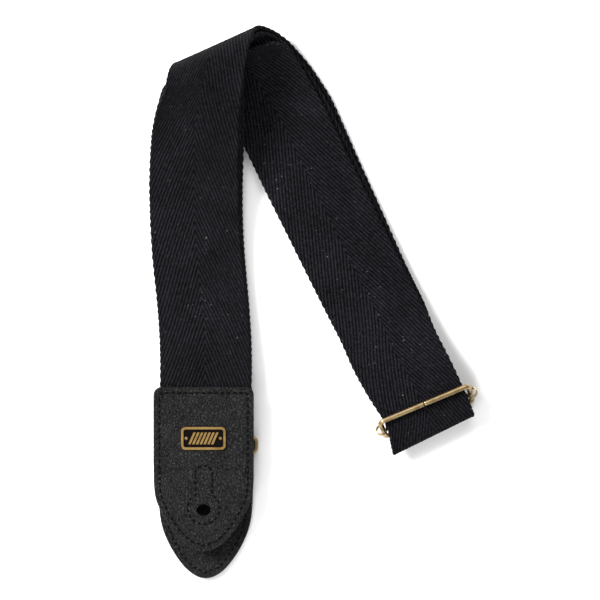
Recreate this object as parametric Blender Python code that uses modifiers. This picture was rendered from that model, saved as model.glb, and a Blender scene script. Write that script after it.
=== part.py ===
"""A folded guitar strap: cotton webbing, two leather ends, a wire ring and a wire slider.

The strap lies on the ground plane, +Z up. Lengths named here are in millimetres and become
metres when a mesh is made. Three layers of the one webbing strip lie on each other: layer a
comes from the front end, layer b runs back from the slider to the ring, and layer c runs from
the ring to the slider's bar.
"""

import math

import bmesh
import bpy
from mathutils import Matrix, Vector

MM = 0.001
GAP = 0.3

# Where the layout's own origin lies, so that the strap's box stands centred on the world origin
LAYOUT_ORIGIN = (-0.99, 0.27, 0.11)

# Webbing
WEBBING_WIDTH = 50.8
BAR_SQUEEZE = 3.6
WEBBING_AT_BAR = WEBBING_WIDTH - BAR_SQUEEZE
FRAME_SQUEEZE = 2.4
SQUEEZE_MIDDLE = 2.0
SQUEEZE_REACH = 14.0
WEBBING_THICK = 2.0
COLUMNS = 4
CORE_WIDTH = 50.0
CORE_STEP = 20.0
ROUTE_STEP = 7.0

# Leather ends
PLY_THICK = 1.5
FRONT_MARGIN = 2.4
FRONT_WIDTH = WEBBING_WIDTH + 2 * FRONT_MARGIN
FRONT_LENGTH = 91.4
FRONT_X = -59.9
FRONT_TIP_Y = -138.4
REAR_MARGIN = 1.1
REAR_WIDTH = WEBBING_WIDTH + 2 * REAR_MARGIN
REAR_WRAP_INSET = 0.7
REAR_WRAP_WIDTH = WEBBING_WIDTH - 2 * REAR_WRAP_INSET
REAR_X = -59.0
REAR_TIP_Y = -154.0
REAR_TAB = 15.0
CORNER = 4.5
# How fast the sides part behind the tip, and how sharply they turn parallel
FRONT_TAPER = (5.03, 20.0)
REAR_TAPER = (4.7, 12.0)

# Button hole, slit and their stitching, measured from the tip
HOLE_RADIUS = 3.9
HOLE_SQUASH = 0.85
HOLE_FROM_TIP = 23.1
SLIT_WIDTH = 0.5
SLIT_LENGTH = 13.0
KEYHOLE_RADIUS = 8.8
KEYHOLE_STEM = 9.4
KEYHOLE_TOP_FROM_TIP = 48.2

# Threads
THREAD_RADIUS = 0.35
EDGE_TO_THREAD = 3.3

# Ring
RING_WIRE = 3.0
SIDE_PLAY = 0.7
RING_WIDTH = WEBBING_WIDTH + 2 * (RING_WIRE + SIDE_PLAY)
WRAP_GAP = 0.7
WEBBING_WRAP_RADIUS = RING_WIRE / 2 + GAP + WEBBING_THICK
LEATHER_WRAP_RADIUS = RING_WIRE / 2 + GAP + PLY_THICK
RING_HEIGHT = RING_WIRE + WEBBING_WRAP_RADIUS + LEATHER_WRAP_RADIUS + WRAP_GAP
RING_X = -58.7
RING_Y = -79.5
RING_Z = WEBBING_THICK + GAP + RING_WIRE / 2
RING_CORNER = 2.6

# Slider
SLIDER_WIRE = 2.9
SLIDER_WIDTH = WEBBING_WIDTH - FRAME_SQUEEZE + 2 * (SLIDER_WIRE + SIDE_PLAY)
SLIDER_HEIGHT = 21.9
SLIDER_X = 62.1
SLIDER_Y = -56.2
SLIDER_TURN = math.radians(22.6)
SLIDER_RUN = 9.4
SLIDER_CORNER = 2.6
SLIDER_SEAM = 0.5
BAR_THICK = 0.7
BAR_WIDTH = 2.4
EYE_CLEARANCE = 0.2
EYE_SLACK = 0.8
EYE_TURN = math.radians(300)

# Badge
BADGE_WIDTH = 25.0
BADGE_HEIGHT = 13.0
BADGE_THICK = 1.0
BADGE_Y = -75.4
BADGE_RIM = 1.4
PRONG_RADIUS = 0.7
PRONG_SPACING = 14.0
PRONG_CLEARANCE = 0.35
WASHER_THICK = 0.6

# Heights of the layers above the ground where they cross the ring and the front end
BACK_PLY_Z = RING_Z + RING_WIRE / 2 + WEBBING_THICK + 2 * GAP + PLY_THICK / 2
WEBBING_IN_END_Z = BACK_PLY_Z + PLY_THICK / 2 + GAP + WEBBING_THICK / 2
TOP_PLY_Z = WEBBING_IN_END_Z + WEBBING_THICK / 2 + GAP + PLY_THICK / 2
TIP_PLY_Z = BACK_PLY_Z + PLY_THICK + GAP
WEBBING_START_Y = -68.0
# The height that CORE gives layer a as it leaves the front end, and the stretch of the left arm
# over which it goes back to CORE when the plies or the ring are thicker
CORE_IN_END_Z = 10.7
LIFT_START_Y = -44.0
LIFT_END_Y = 1.0
LEFT_ARM_X = -80.0
STEP_TOP_Y = -87.0
STEP_BOTTOM_Y = -95.0

# The middle layer, c, from the ring up the left arm, over the top fold and down the right arm.
# Each row: left selvedge x, y, z; right selvedge x, y, z; rise of layer a; drop of layer b;
# sideways shift of a; of b; how much further b drops at its right selvedge. The selvedges are
# those of webbing as wide as CORE_WIDTH.
CORE = [
    (-84.0, -62.0, 6.7, -34.0, -62.0, 6.7, 4.1, 5.7, -0.2, 0.0, 0.0),
    (-83.8, -44.0, 6.5, -33.5, -44.0, 6.5, 4.1, 5.4, -0.2, 0.0, 0.0),
    (-84.2, -22.0, 5.0, -33.8, -22.0, 5.0, 2.9, 3.9, -0.2, 0.2, 0.0),
    (-85.7, 1.0, 4.0, -35.4, 1.0, 4.0, 2.4, 2.7, -0.4, 0.3, 0.0),
    (-87.7, 23.4, 5.0, -37.6, 23.4, 5.0, 2.4, 2.6, -0.7, 0.5, 0.0),
    (-88.8, 45.6, 7.8, -39.1, 45.6, 7.8, 2.4, 2.5, -0.8, 0.8, 0.0),
    (-88.8, 67.8, 13.0, -39.4, 67.8, 13.0, 2.4, 2.6, -1.0, 1.2, 0.0),
    (-87.8, 84.5, 19.0, -39.2, 84.5, 19.0, 2.4, 2.8, -1.1, 1.6, 0.0),
    (-86.7, 96.7, 26.0, -38.9, 102.3, 23.0, 2.4, 3.2, -1.0, 1.8, 0.0),
    (-84.4, 107.9, 32.5, -38.1, 119.0, 26.0, 2.6, 3.8, -0.7, 1.6, 0.6),
    (-80.9, 116.6, 36.3, -36.8, 131.2, 27.0, 3.0, 4.4, -0.3, 1.3, 1.4),
    (-77.9, 123.3, 34.5, -34.2, 141.2, 25.5, 3.4, 4.6, 0.3, 0.8, 2.4),
    (-73.8, 127.4, 26.5, -29.2, 148.2, 20.0, 3.4, 4.6, 0.9, 0.2, 2.8),
    (-66.4, 126.5, 14.5, -21.6, 148.2, 12.2, 3.2, 4.5, 1.5, -0.3, 2.2),
    (-58.9, 121.4, 7.5, -14.2, 143.8, 7.0, 2.8, 4.1, 1.9, -0.8, 1.2),
    (-53.6, 115.2, 4.6, -8.0, 137.0, 4.5, 2.5, 3.4, 2.3, -1.3, 0.5),
    (-48.0, 108.0, 3.6, -2.6, 130.0, 3.6, 2.4, 2.9, 2.7, -2.1, 0.0),
    (-42.6, 100.8, 3.4, 2.6, 122.2, 3.4, 2.4, 2.6, 2.8, -2.7, 0.0),
    (-37.0, 91.7, 3.4, 8.2, 113.1, 3.4, 2.4, 2.4, 2.8, -2.9, 0.0),
    (-22.0, 60.3, 3.4, 23.2, 81.7, 3.4, 2.4, 2.4, 2.0, -2.6, 0.0),
    (-8.0, 31.0, 3.4, 37.3, 52.4, 3.4, 2.4, 2.4, 1.2, -2.1, 0.0),
    (6.0, 1.8, 3.5, 51.5, 22.8, 3.5, 2.4, 2.4, 0.3, -1.6, 0.0),
    (17.5, -21.6, 4.2, 63.2, -1.2, 4.2, 3.0, 2.5, 0.0, -1.2, 0.0),
]

# The webbing at the slider, in its own side view: along the arm from the front bar, height,
# sideways shift, extra turn of the strip in degrees.
ARRIVING_A = [
    (-34.0, 1.25, -3.0, 2.0),
    (-21.0, 2.2, -2.0, 1.0),
    (-10.0, 3.1, -1.0, 0.0),
    (0.0, 4.2, -0.2, 0.0),
    (4.7, 4.9, 0.0, 0.0),
    (9.0, 6.1, -0.1, 0.5),
    (14.0, 6.5, -0.9, 2.0),
]
BOTTOM_FOLD = [
    (16.9, 7.3, -1.2, 3.0),
    (17.9, 9.0, -1.4, 3.5),
    (16.9, 10.8, -1.2, 3.0),
]
LEAVING_B = [
    (14.0, 12.0, -0.9, 2.0),
    (9.0, 13.8, -0.3, 0.5),
    (4.7, 14.75, 0.0, 0.0),
    (0.0, 14.3, -0.2, 0.0),
    (-9.0, 13.5, -1.3, 0.0),
    (-21.0, 11.7, -2.6, 1.0),
    (-34.0, 8.9, -3.8, 2.0),
]
ARRIVING_C = [
    (-34.0, 5.6, -3.0, 2.0),
    (-18.0, 9.1, -1.8, 1.0),
    (-12.0, 10.2, -1.1, 0.0),
    (-6.0, 11.1, -0.6, 0.0),
    (0.0, 11.75, 0.0, 0.0),
]
SEWN_END = [
    (1.5, 7.5, 0.0, 0.0),
    (-2.0, 8.2, 0.0, 0.0),
    (-6.0, 8.5, -0.4, 0.0),
    (-12.0, 7.7, -1.1, 0.0),
    (-18.0, 6.65, -1.8, 1.0),
    (-23.0, 5.7, -2.2, 1.0),
]
WRAP_SLACK_ALONG = 0.45
WRAP_SLACK_ACROSS = 0.7
WRAP_ALONG_FRAME = BAR_WIDTH / 2 + WRAP_SLACK_ALONG + WEBBING_THICK / 2
WRAP_ACROSS_FRAME = BAR_THICK / 2 + WRAP_SLACK_ACROSS + WEBBING_THICK / 2
SEAM_START = -9.0
SEAM_END = -19.0
SEAM_SIDE = 20.0


def clear_scene():
    for obj in list(bpy.data.objects):
        bpy.data.objects.remove(obj, do_unlink=True)


def new_collection(name):
    collection = bpy.data.collections.new(name)
    bpy.context.scene.collection.children.link(collection)
    return collection


def material(name, color, roughness, metallic):
    made = bpy.data.materials.new(name)
    made.use_nodes = True
    shader = made.node_tree.nodes["Principled BSDF"]
    shader.inputs["Base Color"].default_value = (*color, 1.0)
    shader.inputs["Roughness"].default_value = roughness
    shader.inputs["Metallic"].default_value = metallic
    return made


def add_object(name, mesh, finish, collection):
    mesh.materials.clear()
    mesh.materials.append(finish)
    mesh.shade_smooth()
    mesh.set_sharp_from_angle(angle=math.radians(40))
    obj = bpy.data.objects.new(name, mesh)
    collection.objects.link(obj)
    return obj


def finish_mesh(name, bm, finish, collection):
    """Makes an object from a bmesh in millimetres."""
    bmesh.ops.recalc_face_normals(bm, faces=bm.faces)
    bmesh.ops.scale(bm, vec=(MM, MM, MM), verts=bm.verts)
    mesh = bpy.data.meshes.new(name)
    bm.to_mesh(mesh)
    bm.free()
    return add_object(name, mesh, finish, collection)


def spline_point(p0, p1, p2, p3, share):
    """A point between p1 and p2 on the centripetal Catmull-Rom curve through four points."""
    t0 = 0.0
    t1 = t0 + max((p1 - p0).length, 1e-6) ** 0.5
    t2 = t1 + max((p2 - p1).length, 1e-6) ** 0.5
    t3 = t2 + max((p3 - p2).length, 1e-6) ** 0.5
    t = t1 + (t2 - t1) * share
    a1 = p0 * ((t1 - t) / (t1 - t0)) + p1 * ((t - t0) / (t1 - t0))
    a2 = p1 * ((t2 - t) / (t2 - t1)) + p2 * ((t - t1) / (t2 - t1))
    a3 = p2 * ((t3 - t) / (t3 - t2)) + p3 * ((t - t2) / (t3 - t2))
    b1 = a1 * ((t2 - t) / (t2 - t0)) + a2 * ((t - t0) / (t2 - t0))
    b2 = a2 * ((t3 - t) / (t3 - t1)) + a3 * ((t - t1) / (t3 - t1))
    return b1 * ((t2 - t) / (t2 - t1)) + b2 * ((t - t1) / (t2 - t1))


def smooth_rows(rows, step):
    """Rows of numbers, whose first six are two edge points, with smooth ones added between them."""
    points = [Vector(row) for row in rows]
    first = points[0] * 2 - points[1]
    last = points[-1] * 2 - points[-2]
    padded = [first] + points + [last]
    result = []
    for i in range(1, len(padded) - 2):
        before, start, end, after = padded[i - 1 : i + 3]
        middle = (end - start)[0:3], (end - start)[3:6]
        length = (Vector(middle[0]) + Vector(middle[1])).length / 2
        count = max(1, math.ceil(length / step))
        for k in range(count):
            result.append(spline_point(before, start, end, after, k / count))
    result.append(points[-1])
    return result


def edges_of(row):
    return Vector(row[0:3]), Vector(row[3:6])


def outward(rows, index, edge):
    """The webbing's outward normal at one selvedge: up on the left arm, down on the right."""
    before = edges_of(rows[max(index - 1, 0)])[edge]
    after = edges_of(rows[min(index + 1, len(rows) - 1)])[edge]
    left, right = edges_of(rows[index])
    return (right - left).cross(after - before).normalized()


def offset_layer(rows, rise_of, shift_of, extra_of=lambda row: 0.0):
    """The selvedges of a layer that lies beside the middle one."""
    layer = []
    for index, row in enumerate(rows):
        left, right = edges_of(row)
        side = (right - left).normalized() * shift_of(row)
        left_up = outward(rows, index, 0) * rise_of(row)
        right_up = outward(rows, index, 1) * (rise_of(row) + extra_of(row))
        layer.append((*(left + left_up + side), *(right + right_up + side)))
    return layer


def slider_axes():
    across = Vector((math.cos(SLIDER_TURN), math.sin(SLIDER_TURN), 0.0))
    along = Vector((math.sin(SLIDER_TURN), -math.cos(SLIDER_TURN), 0.0))
    return across, along


def slider_levels():
    """Front bar, centre bar and rear bar as (along, height), and the frame's down direction."""
    span = SLIDER_HEIGHT - SLIDER_WIRE
    drop = math.sqrt(span**2 - SLIDER_RUN**2)
    rear = Vector((SLIDER_RUN, SLIDER_WIRE / 2))
    front = Vector((0.0, rear.y + drop))
    return front, (front + rear) / 2, rear, (rear - front).normalized()


def slider_row(station, width):
    along, height, side, turn = station
    across_dir, along_dir = slider_axes()
    centre = Vector((SLIDER_X, SLIDER_Y, height)) + along_dir * along + across_dir * side
    turned = across_dir.copy()
    turned.rotate(Matrix.Rotation(math.radians(turn), 3, "Z"))
    half = turned * (width / 2)
    return (*(centre - half), *(centre + half))


def width_in_frame(along):
    """The frame's side wires squeeze the strip as it passes between them."""
    far = min(1.0, ((along - SQUEEZE_MIDDLE) / SQUEEZE_REACH) ** 2)
    return WEBBING_WIDTH - FRAME_SQUEEZE * (1 - far)


def bar_wrap():
    """Layer c round the slider's bar, as stations in the slider's side view."""
    _, centre, _, down = slider_levels()
    out = Vector((-down.y, down.x))
    stations = []
    for degrees in range(0, 226, 45):
        angle = math.radians(degrees)
        point = centre - down * (WRAP_ALONG_FRAME * math.cos(angle))
        point += out * (WRAP_ACROSS_FRAME * math.sin(angle))
        stations.append((point.x, point.y, 0.0, 0.0))
    return stations


def ring_wrap():
    """Layer b round the ring's upper bar into layer c."""
    bar_y = RING_Y + (RING_HEIGHT - RING_WIRE) / 2
    radius = RING_WIRE / 2 + GAP + WEBBING_THICK / 2
    rows = []
    for degrees in range(-90, -271, -30):
        angle = math.radians(degrees)
        y = bar_y + radius * math.cos(angle)
        z = RING_Z + radius * math.sin(angle)
        half = WEBBING_WIDTH / 2
        rows.append((RING_X - half, y, z, RING_X + half, y, z))
    return rows


def fitted_to_width(row):
    """A row of CORE with its selvedges as far apart as the webbing is wide."""
    left, right = edges_of(row)
    spare = (right - left) * (WEBBING_WIDTH / CORE_WIDTH - 1) / 2
    return (*(left - spare), *(right + spare), *row[6:])


def lift_in_end(row):
    """How much higher than CORE says layer a has to leave the front end."""
    if row[0] > LEFT_ARM_X:
        return 0.0
    share = (LIFT_END_Y - row[1]) / (LIFT_END_Y - LIFT_START_Y)
    return (WEBBING_IN_END_Z - CORE_IN_END_Z) * min(1.0, max(0.0, share))


def webbing_rows():
    """Both selvedges of the whole strip, from the front end to its sewn end."""
    core = smooth_rows([fitted_to_width(row) for row in CORE], CORE_STEP)
    half = WEBBING_WIDTH / 2
    y, z = WEBBING_START_Y, WEBBING_IN_END_Z
    start = (FRONT_X - half, y, z, FRONT_X + half, y, z)
    layer_a = offset_layer(core, lambda row: row[6] + lift_in_end(row), lambda row: row[8])
    layer_b = offset_layer(core, lambda row: -row[7], lambda row: row[9], lambda row: -row[10])
    layer_c = offset_layer(core, lambda row: 0.0, lambda row: 0.0)
    rows = [start] + layer_a
    rows += [slider_row(s, width_in_frame(s[0])) for s in ARRIVING_A + BOTTOM_FOLD + LEAVING_B]
    rows += layer_b[::-1]
    rows += ring_wrap()
    rows += layer_c
    rows += [slider_row(s, WEBBING_AT_BAR) for s in ARRIVING_C + bar_wrap() + SEWN_END]
    return smooth_rows(rows, ROUTE_STEP)


def ribbon_surface(rows, columns):
    bm = bmesh.new()
    lines = []
    for row in rows:
        left, right = edges_of(row)
        lines.append([bm.verts.new(left.lerp(right, k / columns)) for k in range(columns + 1)])
    for here, there in zip(lines, lines[1:]):
        for k in range(columns):
            bm.faces.new((here[k], here[k + 1], there[k + 1], there[k]))
    return bm


def make_webbing(finish, collection):
    bm = ribbon_surface(webbing_rows(), COLUMNS)
    bmesh.ops.scale(bm, vec=(MM, MM, MM), verts=bm.verts)
    mesh = bpy.data.meshes.new("webbing")
    bm.to_mesh(mesh)
    bm.free()
    obj = add_object("webbing", mesh, finish, collection)
    solidify = obj.modifiers.new("thickness", "SOLIDIFY")
    solidify.thickness = WEBBING_THICK * MM
    solidify.offset = 0.0
    solidify.use_even_offset = True
    return obj


def taper_half(distance, half_width, taper):
    """Half the width of a leather end at a distance from its tip."""
    reach, power = taper
    rounded = max(reach * math.sqrt(max(distance, 0.0)), 1e-3)
    return (rounded**-power + half_width**-power) ** (-1 / power)


def end_outline(length, half_width, taper, inset=0.0, top_inset=0.0, half_at=None):
    """A closed outline, tip at the origin, that runs up +Y. The inset keeps it inside the edge."""
    distances = [0.6, 2.0, 4.5, 8.0, 12.0, 17.0, 23.0, 30.0, 38.0]
    top = length - top_inset
    corner = max(CORNER - inset, 0.8)
    right = []
    for distance in distances:
        half = taper_half(distance, half_width, taper)
        slope = taper_half(distance + 0.5, half_width, taper) - half
        normal = Vector((0.5, -slope)).normalized()
        right.append(Vector((half, distance)) - normal * inset)
    right = [p for p in right if p.x > 0.5]
    side = half_width - inset
    right.append(Vector((half_at(length - 20) - inset if half_at else side, length - 20)))
    upper = (half_at(top) if half_at else half_width) - inset
    for k in range(5):
        angle = math.radians(90 * k / 4)
        right.append(Vector((upper - corner + corner * math.cos(angle), top - corner + corner * math.sin(angle))))
    left = [Vector((-p.x, p.y)) for p in reversed(right)]
    return [Vector((0.0, inset))] + right + left


def circle(x, y, radius, count=20, start=0.0, turn=2 * math.pi):
    steps = [start + turn * k / count for k in range(count)]
    return [Vector((x + radius * math.cos(a), y + radius * math.sin(a))) for a in steps]


def button_hole():
    """The hole's round outline with the slit that runs up from it."""
    half = math.asin(SLIT_WIDTH / 2 / HOLE_RADIUS)
    turn = 2 * math.pi - 2 * half
    steps = [math.pi / 2 + half + turn * k / 20 for k in range(21)]
    round_part = [
        Vector((HOLE_RADIUS * math.cos(a), HOLE_FROM_TIP + HOLE_RADIUS * HOLE_SQUASH * math.sin(a)))
        for a in steps
    ]
    slit_top = HOLE_FROM_TIP + HOLE_RADIUS + SLIT_LENGTH
    slit = [Vector((SLIT_WIDTH / 2, slit_top)), Vector((-SLIT_WIDTH / 2, slit_top))]
    return round_part + slit


def keyhole_line():
    half = KEYHOLE_STEM / 2
    join = math.asin(half / KEYHOLE_RADIUS)
    turn = 2 * math.pi - 2 * join
    steps = [math.pi / 2 + join + turn * k / 18 for k in range(19)]
    points = [
        Vector((KEYHOLE_RADIUS * math.cos(a), HOLE_FROM_TIP + 1 + KEYHOLE_RADIUS * math.sin(a))) for a in steps
    ]
    top = KEYHOLE_TOP_FROM_TIP
    points.append(Vector((half, top - half - 8)))
    for k in range(7):
        angle = math.pi * k / 6
        points.append(Vector((half * math.cos(angle), top - half + half * math.sin(angle))))
    points.append(Vector((-half, top - half - 8)))
    return points


def plate(outline, holes, thickness):
    """A flat sheet in millimetres, its middle at z = 0, from a filled 2D curve."""
    curve = bpy.data.curves.new("outline", "CURVE")
    curve.dimensions = "2D"
    curve.fill_mode = "BOTH"
    curve.extrude = thickness / 2
    for loop in [outline] + holes:
        spline = curve.splines.new("POLY")
        spline.points.add(len(loop) - 1)
        spline.use_cyclic_u = True
        for point, place in zip(spline.points, loop):
            point.co = (place.x, place.y, 0.0, 1.0)
    guide = bpy.data.objects.new("outline", curve)
    bpy.context.scene.collection.objects.link(guide)
    bpy.context.view_layer.update()
    evaluated = guide.evaluated_get(bpy.context.evaluated_depsgraph_get())
    mesh = bpy.data.meshes.new_from_object(evaluated)
    bm = bmesh.new()
    bm.from_mesh(mesh)
    bmesh.ops.remove_doubles(bm, verts=bm.verts, dist=0.0001)
    bpy.data.objects.remove(guide, do_unlink=True)
    bpy.data.curves.remove(curve)
    bpy.data.meshes.remove(mesh)
    return bm


def cut_across(bm, positions):
    """Adds edges across a sheet, so that it can bend there."""
    for y in positions:
        geometry = bm.verts[:] + bm.edges[:] + bm.faces[:]
        bmesh.ops.bisect_plane(bm, geom=geometry, dist=1e-5, plane_co=(0, y, 0), plane_no=(0, 1, 0))


class Profile:
    """A side view along which a flat sheet is bent: points (y, z), measured by length."""

    def __init__(self, points):
        self.points = [Vector(p) for p in points]
        self.lengths = [0.0]
        for a, b in zip(self.points, self.points[1:]):
            self.lengths.append(self.lengths[-1] + (b - a).length)

    def normal(self, index):
        before = self.points[max(index - 1, 0)]
        after = self.points[min(index + 1, len(self.points) - 1)]
        along = (after - before).normalized()
        return Vector((-along.y, along.x))

    def place(self, s, height):
        index = 0
        while index < len(self.lengths) - 2 and s > self.lengths[index + 1]:
            index += 1
        share = (s - self.lengths[index]) / (self.lengths[index + 1] - self.lengths[index])
        point = self.points[index].lerp(self.points[index + 1], share)
        limited = min(max(share, 0.0), 1.0)
        normal = self.normal(index).lerp(self.normal(index + 1), limited)
        return point + normal.normalized() * height


def bend(bm, profile, x):
    for vert in bm.verts:
        place = profile.place(vert.co.y, vert.co.z)
        vert.co = (vert.co.x + x, place.x, place.y)


def front_top_profile():
    """The front end's top ply: flat over the webbing, stepping down to the back ply at the tip."""
    points = [(FRONT_TIP_Y, TIP_PLY_Z)]
    for k in range(7):
        share = k / 6
        ease = share * share * (3 - 2 * share)
        y = STEP_BOTTOM_Y + (STEP_TOP_Y - STEP_BOTTOM_Y) * share
        points.append((y, TIP_PLY_Z + (TOP_PLY_Z - TIP_PLY_Z) * ease))
    points.append((FRONT_TIP_Y + FRONT_LENGTH, TOP_PLY_Z))
    return Profile(points)


def rear_top_profile():
    """The rear end's top ply: from the tip up over the ring's lower bar and back beneath it."""
    bar_y = RING_Y - (RING_HEIGHT - RING_WIRE) / 2
    radius = RING_WIRE / 2 + GAP + PLY_THICK / 2
    low = PLY_THICK * 1.5 + GAP
    high = RING_Z + radius
    start_y = bar_y - REAR_TAB
    points = [(REAR_TIP_Y, low)]
    for k in range(7):
        share = k / 6
        ease = share * share * (3 - 2 * share)
        points.append((start_y + REAR_TAB * share, low + (high - low) * ease))
    for degrees in range(60, -91, -30):
        angle = math.radians(degrees)
        points.append((bar_y + radius * math.cos(angle), RING_Z + radius * math.sin(angle)))
    under = PLY_THICK / 2
    points.append((bar_y - 4.0, under + 0.2))
    points.append((bar_y - 7.0, under))
    points.append((bar_y - REAR_TAB, under))
    return Profile(points)


def tube(name, points, radius, finish, collection, cyclic=True, sides=1):
    """A thread or wire: a poly curve in millimetres turned to metres."""
    curve = bpy.data.curves.new(name, "CURVE")
    curve.dimensions = "3D"
    curve.bevel_depth = radius * MM
    curve.bevel_resolution = sides
    curve.use_fill_caps = not cyclic
    spline = curve.splines.new("POLY")
    spline.points.add(len(points) - 1)
    spline.use_cyclic_u = cyclic
    for point, place in zip(spline.points, points):
        point.co = (place[0] * MM, place[1] * MM, place[2] * MM, 1.0)
    curve.materials.append(finish)
    obj = bpy.data.objects.new(name, curve)
    collection.objects.link(obj)
    return obj


def spaced(loop, step):
    """The points of a closed line, with more of them on its long stretches."""
    result = []
    for here, there in zip(loop, loop[1:] + loop[:1]):
        count = max(1, round((there - here).length / step))
        result += [here.lerp(there, k / count) for k in range(count)]
    return result


def thread_on(profile, loop, x):
    height = PLY_THICK / 2 + GAP + THREAD_RADIUS
    places = []
    for point in spaced(loop, 5.0):
        place = profile.place(point.y, height)
        places.append((point.x + x, place.x, place.y))
    return places


def make_front_end(leather, thread, collection):
    holes = [button_hole()]
    outline = end_outline(FRONT_LENGTH, FRONT_WIDTH / 2, FRONT_TAPER)
    profile = front_top_profile()
    length = profile.lengths[-1]
    prong_y = length - (FRONT_TIP_Y + FRONT_LENGTH - BADGE_Y)
    prongs = [
        circle(side * PRONG_SPACING / 2, prong_y, PRONG_RADIUS + PRONG_CLEARANCE, 12) for side in (-1, 1)
    ]
    top_outline = end_outline(length, FRONT_WIDTH / 2, FRONT_TAPER)
    top = plate(top_outline, holes + prongs, PLY_THICK)
    cut_across(top, profile.lengths[1:-1])
    bend(top, profile, FRONT_X)
    finish_mesh("front_end_top_leather", top, leather, collection)
    back = plate(outline, holes, PLY_THICK)
    bmesh.ops.translate(back, vec=(FRONT_X, FRONT_TIP_Y, BACK_PLY_Z), verts=back.verts)
    finish_mesh("front_end_back_leather", back, leather, collection)
    edge = end_outline(length, FRONT_WIDTH / 2, FRONT_TAPER, EDGE_TO_THREAD, EDGE_TO_THREAD)
    edge_line = thread_on(profile, edge, FRONT_X)
    tube("front_end_edge_stitching", edge_line, THREAD_RADIUS, thread, collection)
    keyhole = thread_on(profile, keyhole_line(), FRONT_X)
    tube("front_end_keyhole_stitching", keyhole, THREAD_RADIUS, thread, collection)


def make_rear_end(leather, thread, collection):
    profile = rear_top_profile()
    length = profile.lengths[-1]
    tab_start = RING_Y - (RING_HEIGHT - RING_WIRE) / 2 - REAR_TAB - REAR_TIP_Y

    def half_at(y):
        share = min(max((y - tab_start + 6) / 12, 0.0), 1.0)
        return REAR_WIDTH / 2 + (REAR_WRAP_WIDTH - REAR_WIDTH) / 2 * share

    body = end_outline(tab_start, REAR_WIDTH / 2, REAR_TAPER)
    tip = [p for p in body if p.y < tab_start - 10]
    wrap_half = REAR_WRAP_WIDTH / 2
    ears = [Vector((REAR_WIDTH / 2, tab_start)), Vector((wrap_half, tab_start + 8)), Vector((wrap_half, length))]
    right = [p for p in tip if p.x >= 0] + ears
    left = [Vector((-p.x, p.y)) for p in reversed(right[1:])]
    top = plate(right + left, [button_hole()], PLY_THICK)
    cut_across(top, profile.lengths[1:-1])
    bend(top, profile, REAR_X)
    finish_mesh("rear_end_top_leather", top, leather, collection)
    back_length = tab_start - 1.0
    back = plate(end_outline(back_length, REAR_WIDTH / 2, REAR_TAPER), [button_hole()], PLY_THICK)
    bmesh.ops.translate(back, vec=(REAR_X, REAR_TIP_Y, PLY_THICK / 2), verts=back.verts)
    finish_mesh("rear_end_back_leather", back, leather, collection)
    edge = end_outline(tab_start + 8, REAR_WIDTH / 2, REAR_TAPER, EDGE_TO_THREAD, 0.0, half_at)
    edge_line = thread_on(profile, edge, REAR_X)
    tube("rear_end_edge_stitching", edge_line, THREAD_RADIUS, thread, collection)
    keyhole = thread_on(profile, keyhole_line(), REAR_X)
    tube("rear_end_keyhole_stitching", keyhole, THREAD_RADIUS, thread, collection)


def rounded_rectangle(half_x, half_y, radius):
    points = []
    for quarter, (sx, sy) in enumerate(((1, 1), (-1, 1), (-1, -1), (1, -1))):
        for k in range(5):
            angle = math.radians(90 * quarter + 22.5 * k)
            x = sx * (half_x - radius) + radius * math.cos(angle)
            y = sy * (half_y - radius) + radius * math.sin(angle)
            points.append(Vector((x, y)))
    return points


def make_ring(finish, collection):
    half_x = (RING_WIDTH - RING_WIRE) / 2
    half_y = (RING_HEIGHT - RING_WIRE) / 2
    loop = rounded_rectangle(half_x, half_y, RING_CORNER)
    places = [(RING_X + p.x, RING_Y + p.y, RING_Z) for p in loop]
    tube("ring", places, RING_WIRE / 2, finish, collection, sides=3)


def slider_point(x, down, out):
    """A point of the slider: across it, down its frame from the centre bar, and out of its plane."""
    across_dir, along_dir = slider_axes()
    _, centre, _, down_dir = slider_levels()
    out_dir = Vector((-down_dir.y, down_dir.x))
    flat = centre + down_dir * down + out_dir * out
    base = Vector((SLIDER_X, SLIDER_Y, 0.0)) + along_dir * flat.x + across_dir * x
    return (base.x, base.y, flat.y)


def make_slider_frame(finish, collection):
    half_x = (SLIDER_WIDTH - SLIDER_WIRE) / 2
    half_y = (SLIDER_HEIGHT - SLIDER_WIRE) / 2
    loop = rounded_rectangle(half_x, half_y, SLIDER_CORNER)
    # The wire starts and ends at the seam in the middle of the front bar.
    corner_order = loop[5:] + loop[:5]
    ends = Vector((-SLIDER_SEAM / 2, half_y)), Vector((SLIDER_SEAM / 2, half_y))
    path = [ends[0]] + corner_order + [ends[1]]
    places = [slider_point(p.x, -p.y, 0.0) for p in path]
    tube("slider_frame", places, SLIDER_WIRE / 2, finish, collection, cyclic=False, sides=3)


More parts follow.
